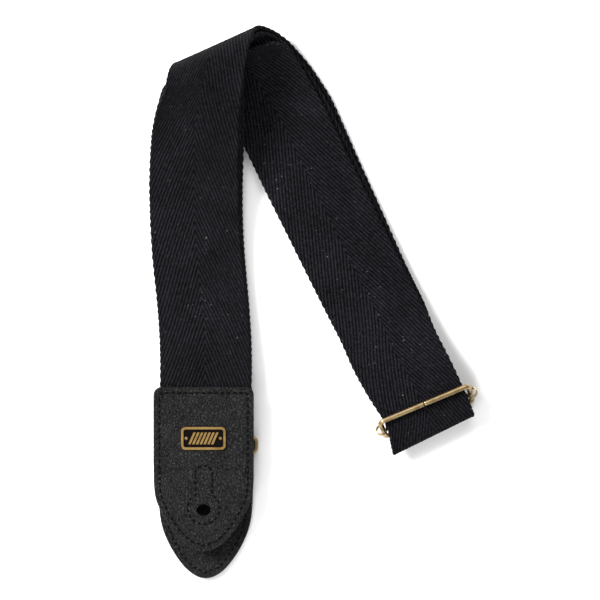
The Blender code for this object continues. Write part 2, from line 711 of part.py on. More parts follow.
def make_slider_bar(finish, collection):
    """A strip whose ends curl round the side wires: one flat strip bent along an open path."""
    side_x = (SLIDER_WIDTH - SLIDER_WIRE) / 2
    radius = SLIDER_WIRE / 2 + EYE_CLEARANCE + BAR_THICK / 2 + EYE_SLACK
    eye_x = side_x + EYE_SLACK
    right = []
    for k in range(17):
        angle = math.radians(180) - EYE_TURN * k / 16
        right.append(Vector((eye_x + radius * math.cos(angle), radius * math.sin(angle))))
    path = [Vector((-p.x, p.y)) for p in reversed(right)] + right
    bm = bmesh.new()
    lines = []
    for point in path:
        pair = []
        for side in (-1, 1):
            pair.append(bm.verts.new(slider_point(point.x, side * BAR_WIDTH / 2, point.y)))
        lines.append(pair)
    for here, there in zip(lines, lines[1:]):
        bm.faces.new((here[0], here[1], there[1], there[0]))
    bmesh.ops.scale(bm, vec=(MM, MM, MM), verts=bm.verts)
    mesh = bpy.data.meshes.new("slider_bar")
    bm.to_mesh(mesh)
    bm.free()
    obj = add_object("slider_bar", mesh, finish, collection)
    solidify = obj.modifiers.new("thickness", "SOLIDIFY")
    solidify.thickness = BAR_THICK * MM
    solidify.offset = 0.0
    solidify.use_even_offset = True


def make_badge(finish, collection):
    """A plain framed plate with raised bars, on two prongs."""
    face_z = TOP_PLY_Z + PLY_THICK / 2 + GAP
    bm = bmesh.new()
    size = Matrix.Diagonal((BADGE_WIDTH, BADGE_HEIGHT, BADGE_THICK, 1.0))
    centre = Matrix.Translation((FRONT_X, BADGE_Y, face_z + BADGE_THICK / 2))
    bmesh.ops.create_cube(bm, size=1.0, matrix=centre @ size)
    top = [f for f in bm.faces if f.normal.z > 0.9]
    bmesh.ops.inset_region(bm, faces=top, thickness=BADGE_RIM)
    for vert in {v for f in top for v in f.verts}:
        vert.co.z -= 0.4
    mesh = bpy.data.meshes.new("badge")
    bm.normal_update()
    bmesh.ops.scale(bm, vec=(MM, MM, MM), verts=bm.verts)
    bm.to_mesh(mesh)
    bm.free()
    badge = add_object("badge", mesh, finish, collection)
    bottom_z = TOP_PLY_Z - PLY_THICK / 2 - GAP - WASHER_THICK
    length = face_z + BADGE_THICK * 0.4 - bottom_z
    for side in (-1, 1):
        prong = bmesh.new()
        place = Matrix.Translation((FRONT_X + side * PRONG_SPACING / 2, BADGE_Y, bottom_z + length / 2))
        bmesh.ops.create_cone(
            prong,
            cap_ends=True,
            segments=12,
            radius1=PRONG_RADIUS,
            radius2=PRONG_RADIUS,
            depth=length,
            matrix=place,
        )
        cutter = finish_mesh(f"badge_prong_{side + 2}", prong, finish, helper_collection())
        cutter.hide_render = True
        cutter.display_type = "WIRE"
        join = badge.modifiers.new("prong", "BOOLEAN")
        join.operation = "UNION"
        join.object = cutter
    return badge


def helper_collection():
    found = bpy.data.collections.get("helpers")
    if found is None:
        found = new_collection("helpers")
        found.hide_render = True
    return found


def make_washer(finish, collection):
    outline = rounded_rectangle(PRONG_SPACING / 2 + 3, 3.0, 1.5)
    holes = [circle(side * PRONG_SPACING / 2, 0.0, PRONG_RADIUS + PRONG_CLEARANCE, 12) for side in (-1, 1)]
    washer = plate(outline, holes, WASHER_THICK)
    z = TOP_PLY_Z - PLY_THICK / 2 - GAP - WASHER_THICK / 2
    bmesh.ops.translate(washer, vec=(FRONT_X, BADGE_Y, z), verts=washer.verts)
    finish_mesh("badge_washer", washer, finish, collection)


def end_seam_height(along):
    """Height of the sewn end's underside, less the gap and the thread."""
    rows = sorted(SEWN_END)
    for low, high in zip(rows, rows[1:]):
        if low[0] <= along <= high[0]:
            share = (along - low[0]) / (high[0] - low[0])
            middle = low[1] + (high[1] - low[1]) * share
    return middle - WEBBING_THICK / 2 - GAP - 2 * THREAD_RADIUS


def make_end_seam(thread, collection):
    corners = [
        (SEAM_START, -SEAM_SIDE),
        (SEAM_START, SEAM_SIDE),
        (SEAM_END, SEAM_SIDE),
        (SEAM_END, -SEAM_SIDE),
    ]
    loop = spaced([Vector(c) for c in corners], 5.0)
    across_dir, along_dir = slider_axes()
    places = []
    for point in loop:
        base = Vector((SLIDER_X, SLIDER_Y, 0.0)) + along_dir * point.x + across_dir * (point.y - 1.2)
        places.append((base.x, base.y, end_seam_height(point.x)))
    tube("webbing_end_seam", places, THREAD_RADIUS, thread, collection)


def joint_empty(name, place, collection, parent):
    empty = bpy.data.objects.new(name, None)
    empty.empty_display_size = 0.01
    empty.location = Vector(place) * MM
    empty.parent = parent
    collection.objects.link(empty)
    return empty


def hang_on_joints(collection):
    """Parents every piece to the layout's origin, and each moving piece to an empty on its joint."""
    origin = joint_empty("layout_origin", LAYOUT_ORIGIN, collection, None)
    bar_offset = (RING_HEIGHT - RING_WIRE) / 2
    ring_axis = joint_empty("ring_axis", (RING_X, RING_Y + bar_offset, RING_Z), collection, origin)
    rear_axis = joint_empty("rear_end_axis", (RING_X, RING_Y - bar_offset, RING_Z), collection, origin)
    slider_axis = joint_empty("slider_axis", slider_point(0, 0, 0), collection, origin)
    on_joint = {"ring": ring_axis, "slider": slider_axis, "rear": rear_axis}
    for obj in list(collection.objects):
        if obj.type == "EMPTY":
            continue
        parent = on_joint.get(obj.name.split("_")[0], origin)
        obj.parent = parent
        if parent is not origin:
            obj.matrix_parent_inverse = Matrix.Translation(-parent.location)


def main():
    clear_scene()
    strap = new_collection("guitar_strap")
    cotton = material("black_cotton", (0.012, 0.011, 0.014), 0.9, 0.0)
    leather = material("charcoal_leather", (0.033, 0.033, 0.034), 0.55, 0.0)
    thread = material("black_thread", (0.008, 0.008, 0.009), 0.7, 0.0)
    brass = material("antique_brass", (0.42, 0.30, 0.13), 0.35, 1.0)
    make_webbing(cotton, strap)
    make_front_end(leather, thread, strap)
    make_rear_end(leather, thread, strap)
    make_ring(brass, strap)
    make_slider_frame(brass, strap)
    make_slider_bar(brass, strap)
    make_badge(brass, strap)
    make_washer(brass, strap)
    make_end_seam(thread, strap)
    hang_on_joints(strap)
    for cutter in helper_collection().objects:
        cutter.parent = bpy.data.objects["layout_origin"]


main()
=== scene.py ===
# %% [markdown]
# # A folded guitar strap
#
# The strap is one long strip of black cotton webbing with a leather end sewn on each side of it,
# joined by a wire ring and a wire slider in antique brass. It lies folded on a pale surface.
# This lesson builds its look round a fixed frame. The frame says where each part is, so nothing
# is fitted by eye. We load it.

# %% Load the frame
import math
import random

import bmesh
import bpy
from mathutils import Matrix, Vector


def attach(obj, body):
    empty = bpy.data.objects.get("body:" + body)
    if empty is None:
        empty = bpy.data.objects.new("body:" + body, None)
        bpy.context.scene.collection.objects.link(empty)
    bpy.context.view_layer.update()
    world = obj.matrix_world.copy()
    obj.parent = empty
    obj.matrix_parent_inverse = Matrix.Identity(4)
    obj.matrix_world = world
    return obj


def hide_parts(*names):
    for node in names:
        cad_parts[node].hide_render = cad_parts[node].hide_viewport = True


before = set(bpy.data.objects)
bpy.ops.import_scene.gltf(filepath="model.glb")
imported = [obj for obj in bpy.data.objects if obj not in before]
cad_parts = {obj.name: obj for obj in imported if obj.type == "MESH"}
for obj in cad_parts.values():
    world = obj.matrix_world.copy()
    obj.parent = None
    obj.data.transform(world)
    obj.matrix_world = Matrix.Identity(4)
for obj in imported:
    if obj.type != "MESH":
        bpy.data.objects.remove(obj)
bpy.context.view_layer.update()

# %% [markdown]
# ## The camera
#
# The strap is seen straight from above through a long lens, so its two arms keep their widths.
# A long lens far away is chosen over an orthographic camera, because the raised fold then still
# comes a little nearer, as it does to a real lens.

# %% Camera
MM = 0.001
LAYOUT = Vector((-0.99, 0.27, 0.11))
VIEW_CENTRE = Vector((-7.4, 1.5, 8.0))
VIEW_WIDTH = 333.6
CAMERA_HEIGHT = 1600.0
SENSOR = 36.0

camera_data = bpy.data.cameras.new("camera")
camera_data.sensor_width = SENSOR
camera_data.lens = SENSOR * CAMERA_HEIGHT / VIEW_WIDTH
camera_data.clip_end = 50.0
camera = bpy.data.objects.new("camera", camera_data)
camera.location = (VIEW_CENTRE + Vector((0, 0, CAMERA_HEIGHT))) * MM
bpy.context.scene.collection.objects.link(camera)
bpy.context.scene.camera = camera
print("lens in mm:", round(camera_data.lens, 1))

# %% [markdown]
# ## Floor and light
#
# A studio product picture has a white floor and broad lamps, so the shadows are pale and soft.
# The floor is one large plane. Three area lamps give the light: a key from the upper left, which
# leaves the fold's mouth in shade, and two wide fills that keep the paper white in the shadows.

# %% Floor and lamps
def plain_material(name, color, roughness):
    made = bpy.data.materials.new(name)
    made.use_nodes = True
    shader = made.node_tree.nodes["Principled BSDF"]
    shader.inputs["Base Color"].default_value = (*color, 1.0)
    shader.inputs["Roughness"].default_value = roughness
    return made


def area_lamp(name, place, aim, size, watts):
    data = bpy.data.lights.new(name, "AREA")
    data.shape = "SQUARE"
    data.size = size
    data.energy = watts
    lamp = bpy.data.objects.new(name, data)
    lamp.location = place
    lamp.rotation_euler = (Vector(aim) - Vector(place)).to_track_quat("-Z", "Y").to_euler()
    bpy.context.scene.collection.objects.link(lamp)
    return lamp


floor_mesh = bpy.data.meshes.new("floor")
floor_builder = bmesh.new()
bmesh.ops.create_grid(floor_builder, x_segments=1, y_segments=1, size=4.0)
floor_builder.to_mesh(floor_mesh)
floor_builder.free()
floor = bpy.data.objects.new("floor", floor_mesh)
floor.location.z = -0.0002
floor_mesh.materials.append(plain_material("white_paper", (0.9, 0.9, 0.9), 0.9))
bpy.context.scene.collection.objects.link(floor)

area_lamp("key", (-0.95, 0.45, 0.85), (0, 0, 0), 0.5, 36.0)
area_lamp("back", (0.1, 0.9, 1.1), (0, 0, 0), 0.8, 8.0)
area_lamp("front", (-0.3, -0.95, 0.95), (0, -0.05, 0), 0.8, 11.0)

world = bpy.data.worlds.new("studio")
world.use_nodes = True
world.node_tree.nodes["Background"].inputs["Color"].default_value = (1.0, 1.0, 1.0, 1.0)
world.node_tree.nodes["Background"].inputs["Strength"].default_value = 0.46
bpy.context.scene.world = world
bpy.context.scene.view_settings.view_transform = "Standard"
print("lamps:", len(bpy.data.lights))

# %% [markdown]
# ## Shader maths as plain expressions
#
# Patterns are easier to read as formulas than as node trees. This small class wraps one output
# socket. Its operators add Math nodes, so `1 - mask` works. Any other node comes from `node`,
# which takes its type, its settings and the values or links of its sockets.

# %% Socket class
class Value:
    def __init__(self, tree, socket):
        self.tree = tree
        self.socket = socket

    def math(self, operation, other=None, third=None):
        made = self.tree.nodes.new("ShaderNodeMath")
        made.operation = operation
        for slot, value in enumerate((self, other, third)):
            if isinstance(value, Value):
                self.tree.links.new(value.socket, made.inputs[slot])
            elif value is not None:
                made.inputs[slot].default_value = value
        return Value(self.tree, made.outputs[0])

    def flipped(self, operation, other):
        made = self.tree.nodes.new("ShaderNodeMath")
        made.operation = operation
        made.inputs[0].default_value = other
        self.tree.links.new(self.socket, made.inputs[1])
        return Value(self.tree, made.outputs[0])

    def __add__(self, other):
        return self.math("ADD", other)

    def __radd__(self, other):
        return self.math("ADD", other)

    def __sub__(self, other):
        return self.math("SUBTRACT", other)

    def __rsub__(self, other):
        return self.flipped("SUBTRACT", other)

    def __mul__(self, other):
        return self.math("MULTIPLY", other)

    def __rmul__(self, other):
        return self.math("MULTIPLY", other)

    def __truediv__(self, other):
        return self.math("DIVIDE", other)

    def __pow__(self, other):
        return self.math("POWER", other)

    def size(self):
        return self.math("ABSOLUTE")

    def sine(self):
        return self.math("SINE")

    def above(self, limit):
        return self.math("GREATER_THAN", limit)

    def clamped(self):
        return self.math("MINIMUM", 1.0).math("MAXIMUM", 0.0)


class Finish:
    """A material under construction: its tree, its Principled shader and a maker of nodes."""

    def __init__(self, name, roughness, metallic=0.0, **uniform):
        self.material = bpy.data.materials.new(name)
        self.material.use_nodes = True
        self.tree = self.material.node_tree
        self.shader = self.tree.nodes["Principled BSDF"]
        self.shader.inputs["Roughness"].default_value = roughness
        self.shader.inputs["Metallic"].default_value = metallic
        for socket, value in uniform.items():
            self.shader.inputs[socket.replace("_", " ")].default_value = value

    def node(self, kind, settings=None, output=0, **sockets):
        made = self.tree.nodes.new("ShaderNode" + kind)
        for key, value in (settings or {}).items():
            setattr(made, key, value)
        for key, value in sockets.items():
            target = made.inputs[key.replace("_", " ")]
            if isinstance(value, Value):
                self.tree.links.new(value.socket, target)
            else:
                target.default_value = value
        return Value(self.tree, made.outputs[output])

    def attribute(self, name):
        return self.node("Attribute", {"attribute_name": name}, output=2)

    def place(self):
        return self.node("TexCoord", output=3)

    def noise(self, scale, detail=3.0, vector=None):
        return self.node("TexNoise", Vector=vector or self.place(), Scale=scale, Detail=detail)

    def mix(self, share, first, second):
        made = self.tree.nodes.new("ShaderNodeMix")
        made.data_type = "RGBA"
        self.tree.links.new(share.socket, made.inputs[0])
        for slot, value in ((6, first), (7, second)):
            if isinstance(value, Value):
                self.tree.links.new(value.socket, made.inputs[slot])
            else:
                made.inputs[slot].default_value = (*value, 1.0)
        return Value(self.tree, made.outputs[2])

    def feed(self, socket, value):
        self.tree.links.new(value.socket, self.shader.inputs[socket])

    def relief(self, height, distance, strength=1.0):
        bump = self.node("Bump", Height=height, Distance=distance, Strength=strength)
        self.feed("Normal", bump)


print("socket class ready")

# %% [markdown]
# ## Black cotton
#
# Herringbone webbing is a twill whose ribs turn back at the middle line. The ribs themselves are
# modelled in the mesh further down, which also stores each point's place across and along the
# strip. Here those two numbers give the small yarn floats that lie side by side on every rib,
# painted shade in the grooves between the floats and in the valleys between ribs, and the pale
# lint that black cotton always picks up.

# %% Cotton material
RIB_PITCH = 1.77
RIB_ANGLE = math.radians(21)


def make_cotton():
    cotton = Finish("black_cotton", 0.9, Sheen_Weight=0.012, Sheen_Roughness=0.6, Specular_IOR_Level=0.04)
    across = cotton.attribute("across")
    along = cotton.attribute("along")
    rib = across.size() * (math.cos(RIB_ANGLE) / RIB_PITCH) + along * (math.sin(RIB_ANGLE) / RIB_PITCH)
    ridge = (rib * math.pi).sine().size()
    float_line = along * (math.cos(RIB_ANGLE) / 0.95) - across.size() * (math.sin(RIB_ANGLE) / 0.95)
    yarn = ((float_line + rib.math("FLOOR") * 0.5) * math.pi).sine().size()
    fuzz = cotton.noise(1900.0, 4.0)
    patches = cotton.noise(45.0, 3.0)
    fine = cotton.noise(620.0, 2.0)
    # The ridge and yarn terms are painted shade, darker in the rib valleys and between yarn floats; the noise
    # terms are the cotton's own uneven colour.
    tone_and_groove_shade = ridge * 0.95 + yarn * 0.3 + (fuzz - 0.5) * 2.2 + (fine - 0.5) * 1.3 + (patches - 0.5) * 0.6 - 0.5
    base = cotton.mix(tone_and_groove_shade.clamped(), (0.0002, 0.0002, 0.0003), (0.0142, 0.0136, 0.0176))
    cells = cotton.node("TexVoronoi", Vector=cotton.place(), Scale=420.0, Randomness=1.0)
    size = cotton.noise(330.0, 1.0)
    lint = (size * 0.5 - 0.215 + (patches - 0.5) * 0.28 - cells).above(0.0)
    pale = cotton.noise(700.0, 1.0) ** 2.0
    cotton.feed("Base Color", cotton.mix(lint * pale, base, (0.24, 0.23, 0.22)))
    cotton.relief(ridge * 0.6 + yarn * 0.4 + fuzz * 0.6, 0.00045, 1.0)
    return cotton.material


cotton_finish = make_cotton()
print("cotton nodes:", len(cotton_finish.node_tree.nodes))

# %% [markdown]
# ## Charcoal leather
#
# The leather is embossed with a fine pebbled surface: small soft cells with crease lines between
# them. Voronoi cells, stretched along a slant and with their borders bent by noise, give that. A
# slow noise adds the lighter and darker clouds that handling leaves. The colour is also painted
# darker in the crease lines between the pebbles and in the low places of the slanted wrinkles, as
# painted shade, and the crease lines are rougher than the pebbles. The cut edge is darker than the
# face, so the mesh marks it and the material mixes towards black there.

# %% Leather material
def make_leather():
    leather = Finish("charcoal_leather", 0.5, Specular_IOR_Level=0.16)
    place = leather.place()
    bend = leather.node("TexNoise", output=1, Vector=place, Scale=420.0, Detail=2.0)
    moved = leather.node("VectorMath", {"operation": "MULTIPLY_ADD"})
    maths = moved.socket.node
    leather.tree.links.new(bend.socket, maths.inputs[0])
    maths.inputs[1].default_value = (0.0011, 0.0011, 0.0011)
    slanted = leather.node(
        "Mapping", {"vector_type": "TEXTURE"}, Vector=place, Rotation=(0.0, 0.0, 0.75), Scale=(2.0, 1.0, 1.0)
    )
    leather.tree.links.new(slanted.socket, maths.inputs[2])
    cells = leather.node("TexVoronoi", {"feature": "DISTANCE_TO_EDGE"}, Vector=moved, Scale=900.0)
    pebble = (cells * 3.0).clamped() ** 0.6
    wrinkle = leather.noise(900.0, 3.0, slanted)
    clouds = leather.noise(34.0, 3.0)
    coarse = leather.noise(330.0, 2.0, slanted)
    # Painted shade: the colour darkens at the pebble borders and where the slanted wrinkle bumps are low; the
    # clouds are the leather's own lighter and darker patches.
    crease_shade = (wrinkle - 0.5) * 1.1 + (coarse - 0.5) * 0.8
    tone_and_crease_shade = pebble * 0.75 + crease_shade + (clouds - 0.5) * 0.3 + 0.08
    face = leather.mix(tone_and_crease_shade.clamped(), (0.0006, 0.0006, 0.0007), (0.024, 0.024, 0.0243))
    edge = leather.attribute("cut_edge")
    leather.feed("Base Color", leather.mix(edge, face, (0.004, 0.004, 0.0045)))
    leather.feed("Roughness", 0.62 - pebble * 0.2 + clouds * 0.1)
    leather.relief(pebble * 1.2 + wrinkle * 0.5 + coarse * 0.6, 0.0010, 1.0)
    return leather.material


leather_finish = make_leather()

# %% [markdown]
# ## Thread and brass
#
# Sewing thread is two twisted plies, so its material is a fine slanted ripple, with painted shade
# in the grooves between the plies. Antique brass is dark in its hollows and polished on its high
# spots; curvature isn't needed for that here, because slow noise and a thin scratch pattern
# already give the uneven polish of plated wire.

# %% Thread and brass materials
def make_thread():
    thread = Finish("black_thread", 0.8, Specular_IOR_Level=0.05)
    twist = thread.node("TexWave", {"bands_direction": "DIAGONAL"}, Vector=thread.place(), Scale=900.0)
    # The twist's dark bands are painted shade in the grooves between the two plies.
    thread.feed("Base Color", thread.mix(twist, (0.0006, 0.0006, 0.0006), (0.004, 0.004, 0.0045)))
    thread.relief(twist, 0.0001, 0.6)
    return thread.material


def make_brass(name, bright, dark, roughness):
    brass = Finish(name, roughness, metallic=1.0)
    tarnish = brass.noise(170.0, 5.0)
    speckle = brass.noise(1400.0, 3.0)
    spots = ((tarnish * 1.5 - 0.45) + (speckle * 0.5 - 0.25)).clamped()
    brass.feed("Base Color", brass.mix(spots, dark, bright))
    brass.feed("Roughness", roughness + 0.16 - spots * 0.16)
    brass.relief(speckle * 0.5 + tarnish * 0.5, 0.00006, 0.5)
    return brass.material


thread_finish = make_thread()
brass_finish = make_brass("antique_brass", (0.62, 0.47, 0.25), (0.20, 0.135, 0.06), 0.24)
print("finishes:", [m.name for m in bpy.data.materials if m.use_nodes])

# %% [markdown]
# ## Joining rows of points into a closed sheet
#
# Webbing and leather are both thin sheets with rounded edges. One helper builds either: it gets a
# grid of points for the upper face and one for the lower face that share their rims, and joins
# them into one closed skin. Numbers for the materials are stored on the points.

# %% Sheet helper
def new_piece(name, builder, finish, body, replaced=(), smooth=True):
    """Turns a bmesh in millimetres into a finished piece that rides on a body."""
    bmesh.ops.recalc_face_normals(builder, faces=builder.faces)
    for vert in builder.verts:
        vert.co = (vert.co + LAYOUT) * MM
    mesh = bpy.data.meshes.new(name)
    builder.to_mesh(mesh)
    builder.free()
    mesh.materials.append(finish)
    if smooth:
        mesh.shade_smooth()
    piece = bpy.data.objects.new(name, mesh)
    bpy.context.scene.collection.objects.link(piece)
    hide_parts(*replaced)
    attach(piece, body)
    return piece


def closed_sheet(upper, lower, values):
    """A skin round two grids of points whose outer rims are the same points."""
    builder = bmesh.new()
    layers = {name: builder.verts.layers.float.new(name) for name in values}
    rows, columns = len(upper), len(upper[0])
    top = [[builder.verts.new(p) for p in row] for row in upper]
    bottom = []
    for i in range(rows):
        line = []
        for k in range(columns):
            rim = i in (0, rows - 1) or k in (0, columns - 1)
            line.append(top[i][k] if rim else builder.verts.new(lower[i][k]))
        bottom.append(line)
    for name, grid in values.items():
        layer = layers[name]
        for i in range(rows):
            for k in range(columns):
                top[i][k][layer] = grid[i][k]
                bottom[i][k][layer] = grid[i][k]
    for i in range(rows - 1):
        for k in range(columns - 1):
            builder.faces.new((top[i][k], top[i][k + 1], top[i + 1][k + 1], top[i + 1][k]))
            builder.faces.new((bottom[i + 1][k], bottom[i + 1][k + 1], bottom[i][k + 1], bottom[i][k]))
    return builder


# %% [markdown]
# ## The route of the webbing
#
# The strip is one piece, so its route is one list of stations. Each station is the left and the
# right selvedge. The middle layer's stations are listed: up the left arm, over the soft
# top fold, down the right arm. The two other layers lie beside it, at their own distances.

# %% Stations of the middle layer
GAP = 0.3
WEBBING_WIDTH = 50.8
CORE_WIDTH = 50.0
WEBBING_AT_BAR = 47.2
FRAME_SQUEEZE = 2.4
SQUEEZE_MIDDLE = 2.0
SQUEEZE_REACH = 14.0
WEBBING_THICK = 2.0
CORE_STEP = 20.0
# left selvedge x, y, z; right selvedge x, y, z; rise of layer a; drop of b; shift of a; of b;
# how much further b drops at its right selvedge
CORE = [
    (-84.0, -62.0, 6.7, -34.0, -62.0, 6.7, 4.1, 5.7, -0.2, 0.0, 0.0),
    (-83.8, -44.0, 6.5, -33.5, -44.0, 6.5, 4.1, 5.4, -0.2, 0.0, 0.0),
    (-84.2, -22.0, 5.0, -33.8, -22.0, 5.0, 2.9, 3.9, -0.2, 0.2, 0.0),
    (-85.7, 1.0, 4.0, -35.4, 1.0, 4.0, 2.4, 2.7, -0.4, 0.3, 0.0),
    (-87.7, 23.4, 5.0, -37.6, 23.4, 5.0, 2.4, 2.6, -0.7, 0.5, 0.0),
    (-88.8, 45.6, 7.8, -39.1, 45.6, 7.8, 2.4, 2.5, -0.8, 0.8, 0.0),
    (-88.8, 67.8, 13.0, -39.4, 67.8, 13.0, 2.4, 2.6, -1.0, 1.2, 0.0),
    (-87.8, 84.5, 19.0, -39.2, 84.5, 19.0, 2.4, 2.8, -1.1, 1.6, 0.0),
    (-86.7, 96.7, 26.0, -38.9, 102.3, 23.0, 2.4, 3.2, -1.0, 1.8, 0.0),
    (-84.4, 107.9, 32.5, -38.1, 119.0, 26.0, 2.6, 3.8, -0.7, 1.6, 0.6),
    (-80.9, 116.6, 36.3, -36.8, 131.2, 27.0, 3.0, 4.4, -0.3, 1.3, 1.4),
    (-77.9, 123.3, 34.5, -34.2, 141.2, 25.5, 3.4, 4.6, 0.3, 0.8, 2.4),
    (-73.8, 127.4, 26.5, -29.2, 148.2, 20.0, 3.4, 4.6, 0.9, 0.2, 2.8),
    (-66.4, 126.5, 14.5, -21.6, 148.2, 12.2, 3.2, 4.5, 1.5, -0.3, 2.2),
    (-58.9, 121.4, 7.5, -14.2, 143.8, 7.0, 2.8, 4.1, 1.9, -0.8, 1.2),
    (-53.6, 115.2, 4.6, -8.0, 137.0, 4.5, 2.5, 3.4, 2.3, -1.3, 0.5),
    (-48.0, 108.0, 3.6, -2.6, 130.0, 3.6, 2.4, 2.9, 2.7, -2.1, 0.0),
    (-42.6, 100.8, 3.4, 2.6, 122.2, 3.4, 2.4, 2.6, 2.8, -2.7, 0.0),
    (-37.0, 91.7, 3.4, 8.2, 113.1, 3.4, 2.4, 2.4, 2.8, -2.9, 0.0),
    (-22.0, 60.3, 3.4, 23.2, 81.7, 3.4, 2.4, 2.4, 2.0, -2.6, 0.0),
    (-8.0, 31.0, 3.4, 37.3, 52.4, 3.4, 2.4, 2.4, 1.2, -2.1, 0.0),
    (6.0, 1.8, 3.5, 51.5, 22.8, 3.5, 2.4, 2.4, 0.3, -1.6, 0.0),
    (17.5, -21.6, 4.2, 63.2, -1.2, 4.2, 3.0, 2.5, 0.0, -1.2, 0.0),
]

# %% [markdown]
# At the slider the three layers part. Layer a dives behind the centre bar and comes out over the
# rear bar, turns at the bottom fold and runs back over the centre bar and under the front one.
# Layer c wraps the centre bar and is sewn on itself. These stations are a side view.

# %% Stations at the slider: along the arm, height, sideways shift, turn in degrees
ARRIVING_A = [
    (-34.0, 1.25, -3.0, 2.0),
    (-21.0, 2.2, -2.0, 1.0),
    (-10.0, 3.1, -1.0, 0.0),
    (0.0, 4.2, -0.2, 0.0),
    (4.7, 4.9, 0.0, 0.0),
    (9.0, 6.1, -0.1, 0.5),
    (14.0, 6.5, -0.9, 2.0),
]
BOTTOM_FOLD = [
    (16.9, 7.3, -1.2, 3.0),
    (17.9, 9.0, -1.4, 3.5),
    (16.9, 10.8, -1.2, 3.0),
]
LEAVING_B = [
    (14.0, 12.0, -0.9, 2.0),
    (9.0, 13.8, -0.3, 0.5),
    (4.7, 14.75, 0.0, 0.0),
    (0.0, 14.3, -0.2, 0.0),
    (-9.0, 13.5, -1.3, 0.0),
    (-21.0, 11.7, -2.6, 1.0),
    (-34.0, 8.9, -3.8, 2.0),
]
ARRIVING_C = [
    (-34.0, 5.6, -3.0, 2.0),
    (-18.0, 9.1, -1.8, 1.0),
    (-12.0, 10.2, -1.1, 0.0),
    (-6.0, 11.1, -0.6, 0.0),
    (0.0, 11.75, 0.0, 0.0),
]
SEWN_END = [
    (1.5, 7.5, 0.0, 0.0),
    (-2.0, 8.2, 0.0, 0.0),
    (-6.0, 8.5, -0.4, 0.0),
    (-12.0, 7.7, -1.1, 0.0),
    (-18.0, 6.65, -1.8, 1.0),
    (-23.0, 5.7, -2.2, 1.0),
]

SLIDER_WIRE = 2.9
SLIDER_WIDTH = 55.6
SLIDER_HEIGHT = 21.9
SLIDER_PLACE = Vector((62.1, -56.2, 0.0))
SLIDER_TURN = math.radians(22.6)
SLIDER_RUN = 9.4
WRAP_ALONG_FRAME = 2.65
WRAP_ACROSS_FRAME = 2.05
SLIDER_ACROSS = Vector((math.cos(SLIDER_TURN), math.sin(SLIDER_TURN), 0.0))
SLIDER_ALONG = Vector((math.sin(SLIDER_TURN), -math.cos(SLIDER_TURN), 0.0))

span = SLIDER_HEIGHT - SLIDER_WIRE
REAR_BAR = Vector((SLIDER_RUN, SLIDER_WIRE / 2))
FRONT_BAR = Vector((0.0, REAR_BAR.y + math.sqrt(span**2 - SLIDER_RUN**2)))
CENTRE_BAR = (REAR_BAR + FRONT_BAR) / 2
FRAME_DOWN = (REAR_BAR - FRONT_BAR).normalized()
FRAME_OUT = Vector((-FRAME_DOWN.y, FRAME_DOWN.x))

# %% [markdown]
# Smooth points between the stations come from a centripetal Catmull-Rom curve. It passes through
# every station and doesn't overshoot where they lie close together, as they do round a wire.

# %% Smooth rows
def spline_point(p0, p1, p2, p3, share):
    t1 = max((p1 - p0).length, 1e-6) ** 0.5
    t2 = t1 + max((p2 - p1).length, 1e-6) ** 0.5
    t3 = t2 + max((p3 - p2).length, 1e-6) ** 0.5
    t = t1 + (t2 - t1) * share
    a1 = p0 * ((t1 - t) / t1) + p1 * (t / t1)
    a2 = p1 * ((t2 - t) / (t2 - t1)) + p2 * ((t - t1) / (t2 - t1))
    a3 = p2 * ((t3 - t) / (t3 - t2)) + p3 * ((t - t2) / (t3 - t2))
    b1 = a1 * ((t2 - t) / t2) + a2 * (t / t2)
    b2 = a2 * ((t3 - t) / (t3 - t1)) + a3 * ((t - t1) / (t3 - t1))
    return b1 * ((t2 - t) / (t2 - t1)) + b2 * ((t - t1) / (t2 - t1))


def smooth_rows(rows, step):
    points = [Vector(row) for row in rows]
    padded = [points[0] * 2 - points[1]] + points + [points[-1] * 2 - points[-2]]
    result = []
    for i in range(1, len(padded) - 2):
        before, start, end, after = padded[i - 1 : i + 3]
        change = end - start
        length = (Vector(change[0:3]) + Vector(change[3:6])).length / 2
        count = max(1, math.ceil(length / step))
        result += [spline_point(before, start, end, after, k / count) for k in range(count)]
    return result + [points[-1]]


def edges_of(row):
    return Vector(row[0:3]), Vector(row[3:6])


def normals_of(rows, index):
    before, after = edges_of(rows[max(index - 1, 0)]), edges_of(rows[min(index + 1, len(rows) - 1)])
    left, right = edges_of(rows[index])
    width = right - left
    return width.cross(after[0] - before[0]).normalized(), width.cross(after[1] - before[1]).normalized()


def offset_layer(rows, rise_of, shift_of, extra_of=lambda row: 0.0):
    layer = []
    for index, row in enumerate(rows):
        left, right = edges_of(row)
        side = (right - left).normalized() * shift_of(row)
        up = normals_of(rows, index)
        new_left = left + up[0] * rise_of(row) + side
        new_right = right + up[1] * (rise_of(row) + extra_of(row)) + side
        layer.append((*new_left, *new_right))
    return layer


def slider_row(station, width):
    along, height, side, turn = station
    centre = SLIDER_PLACE + SLIDER_ALONG * along + SLIDER_ACROSS * side + Vector((0, 0, height))
    half = SLIDER_ACROSS.copy()
    half.rotate(Matrix.Rotation(math.radians(turn), 3, "Z"))
    half = half * (width / 2)
    return (*(centre - half), *(centre + half))


print("core stations:", len(CORE))

# %% [markdown]
# ## Heights at the ring and in the front end
#
# The ring carries two layers of webbing and the front end lies on top of them. Adding up wires,
# webbing, leather and small gaps gives every height, so nothing sinks into its neighbour.

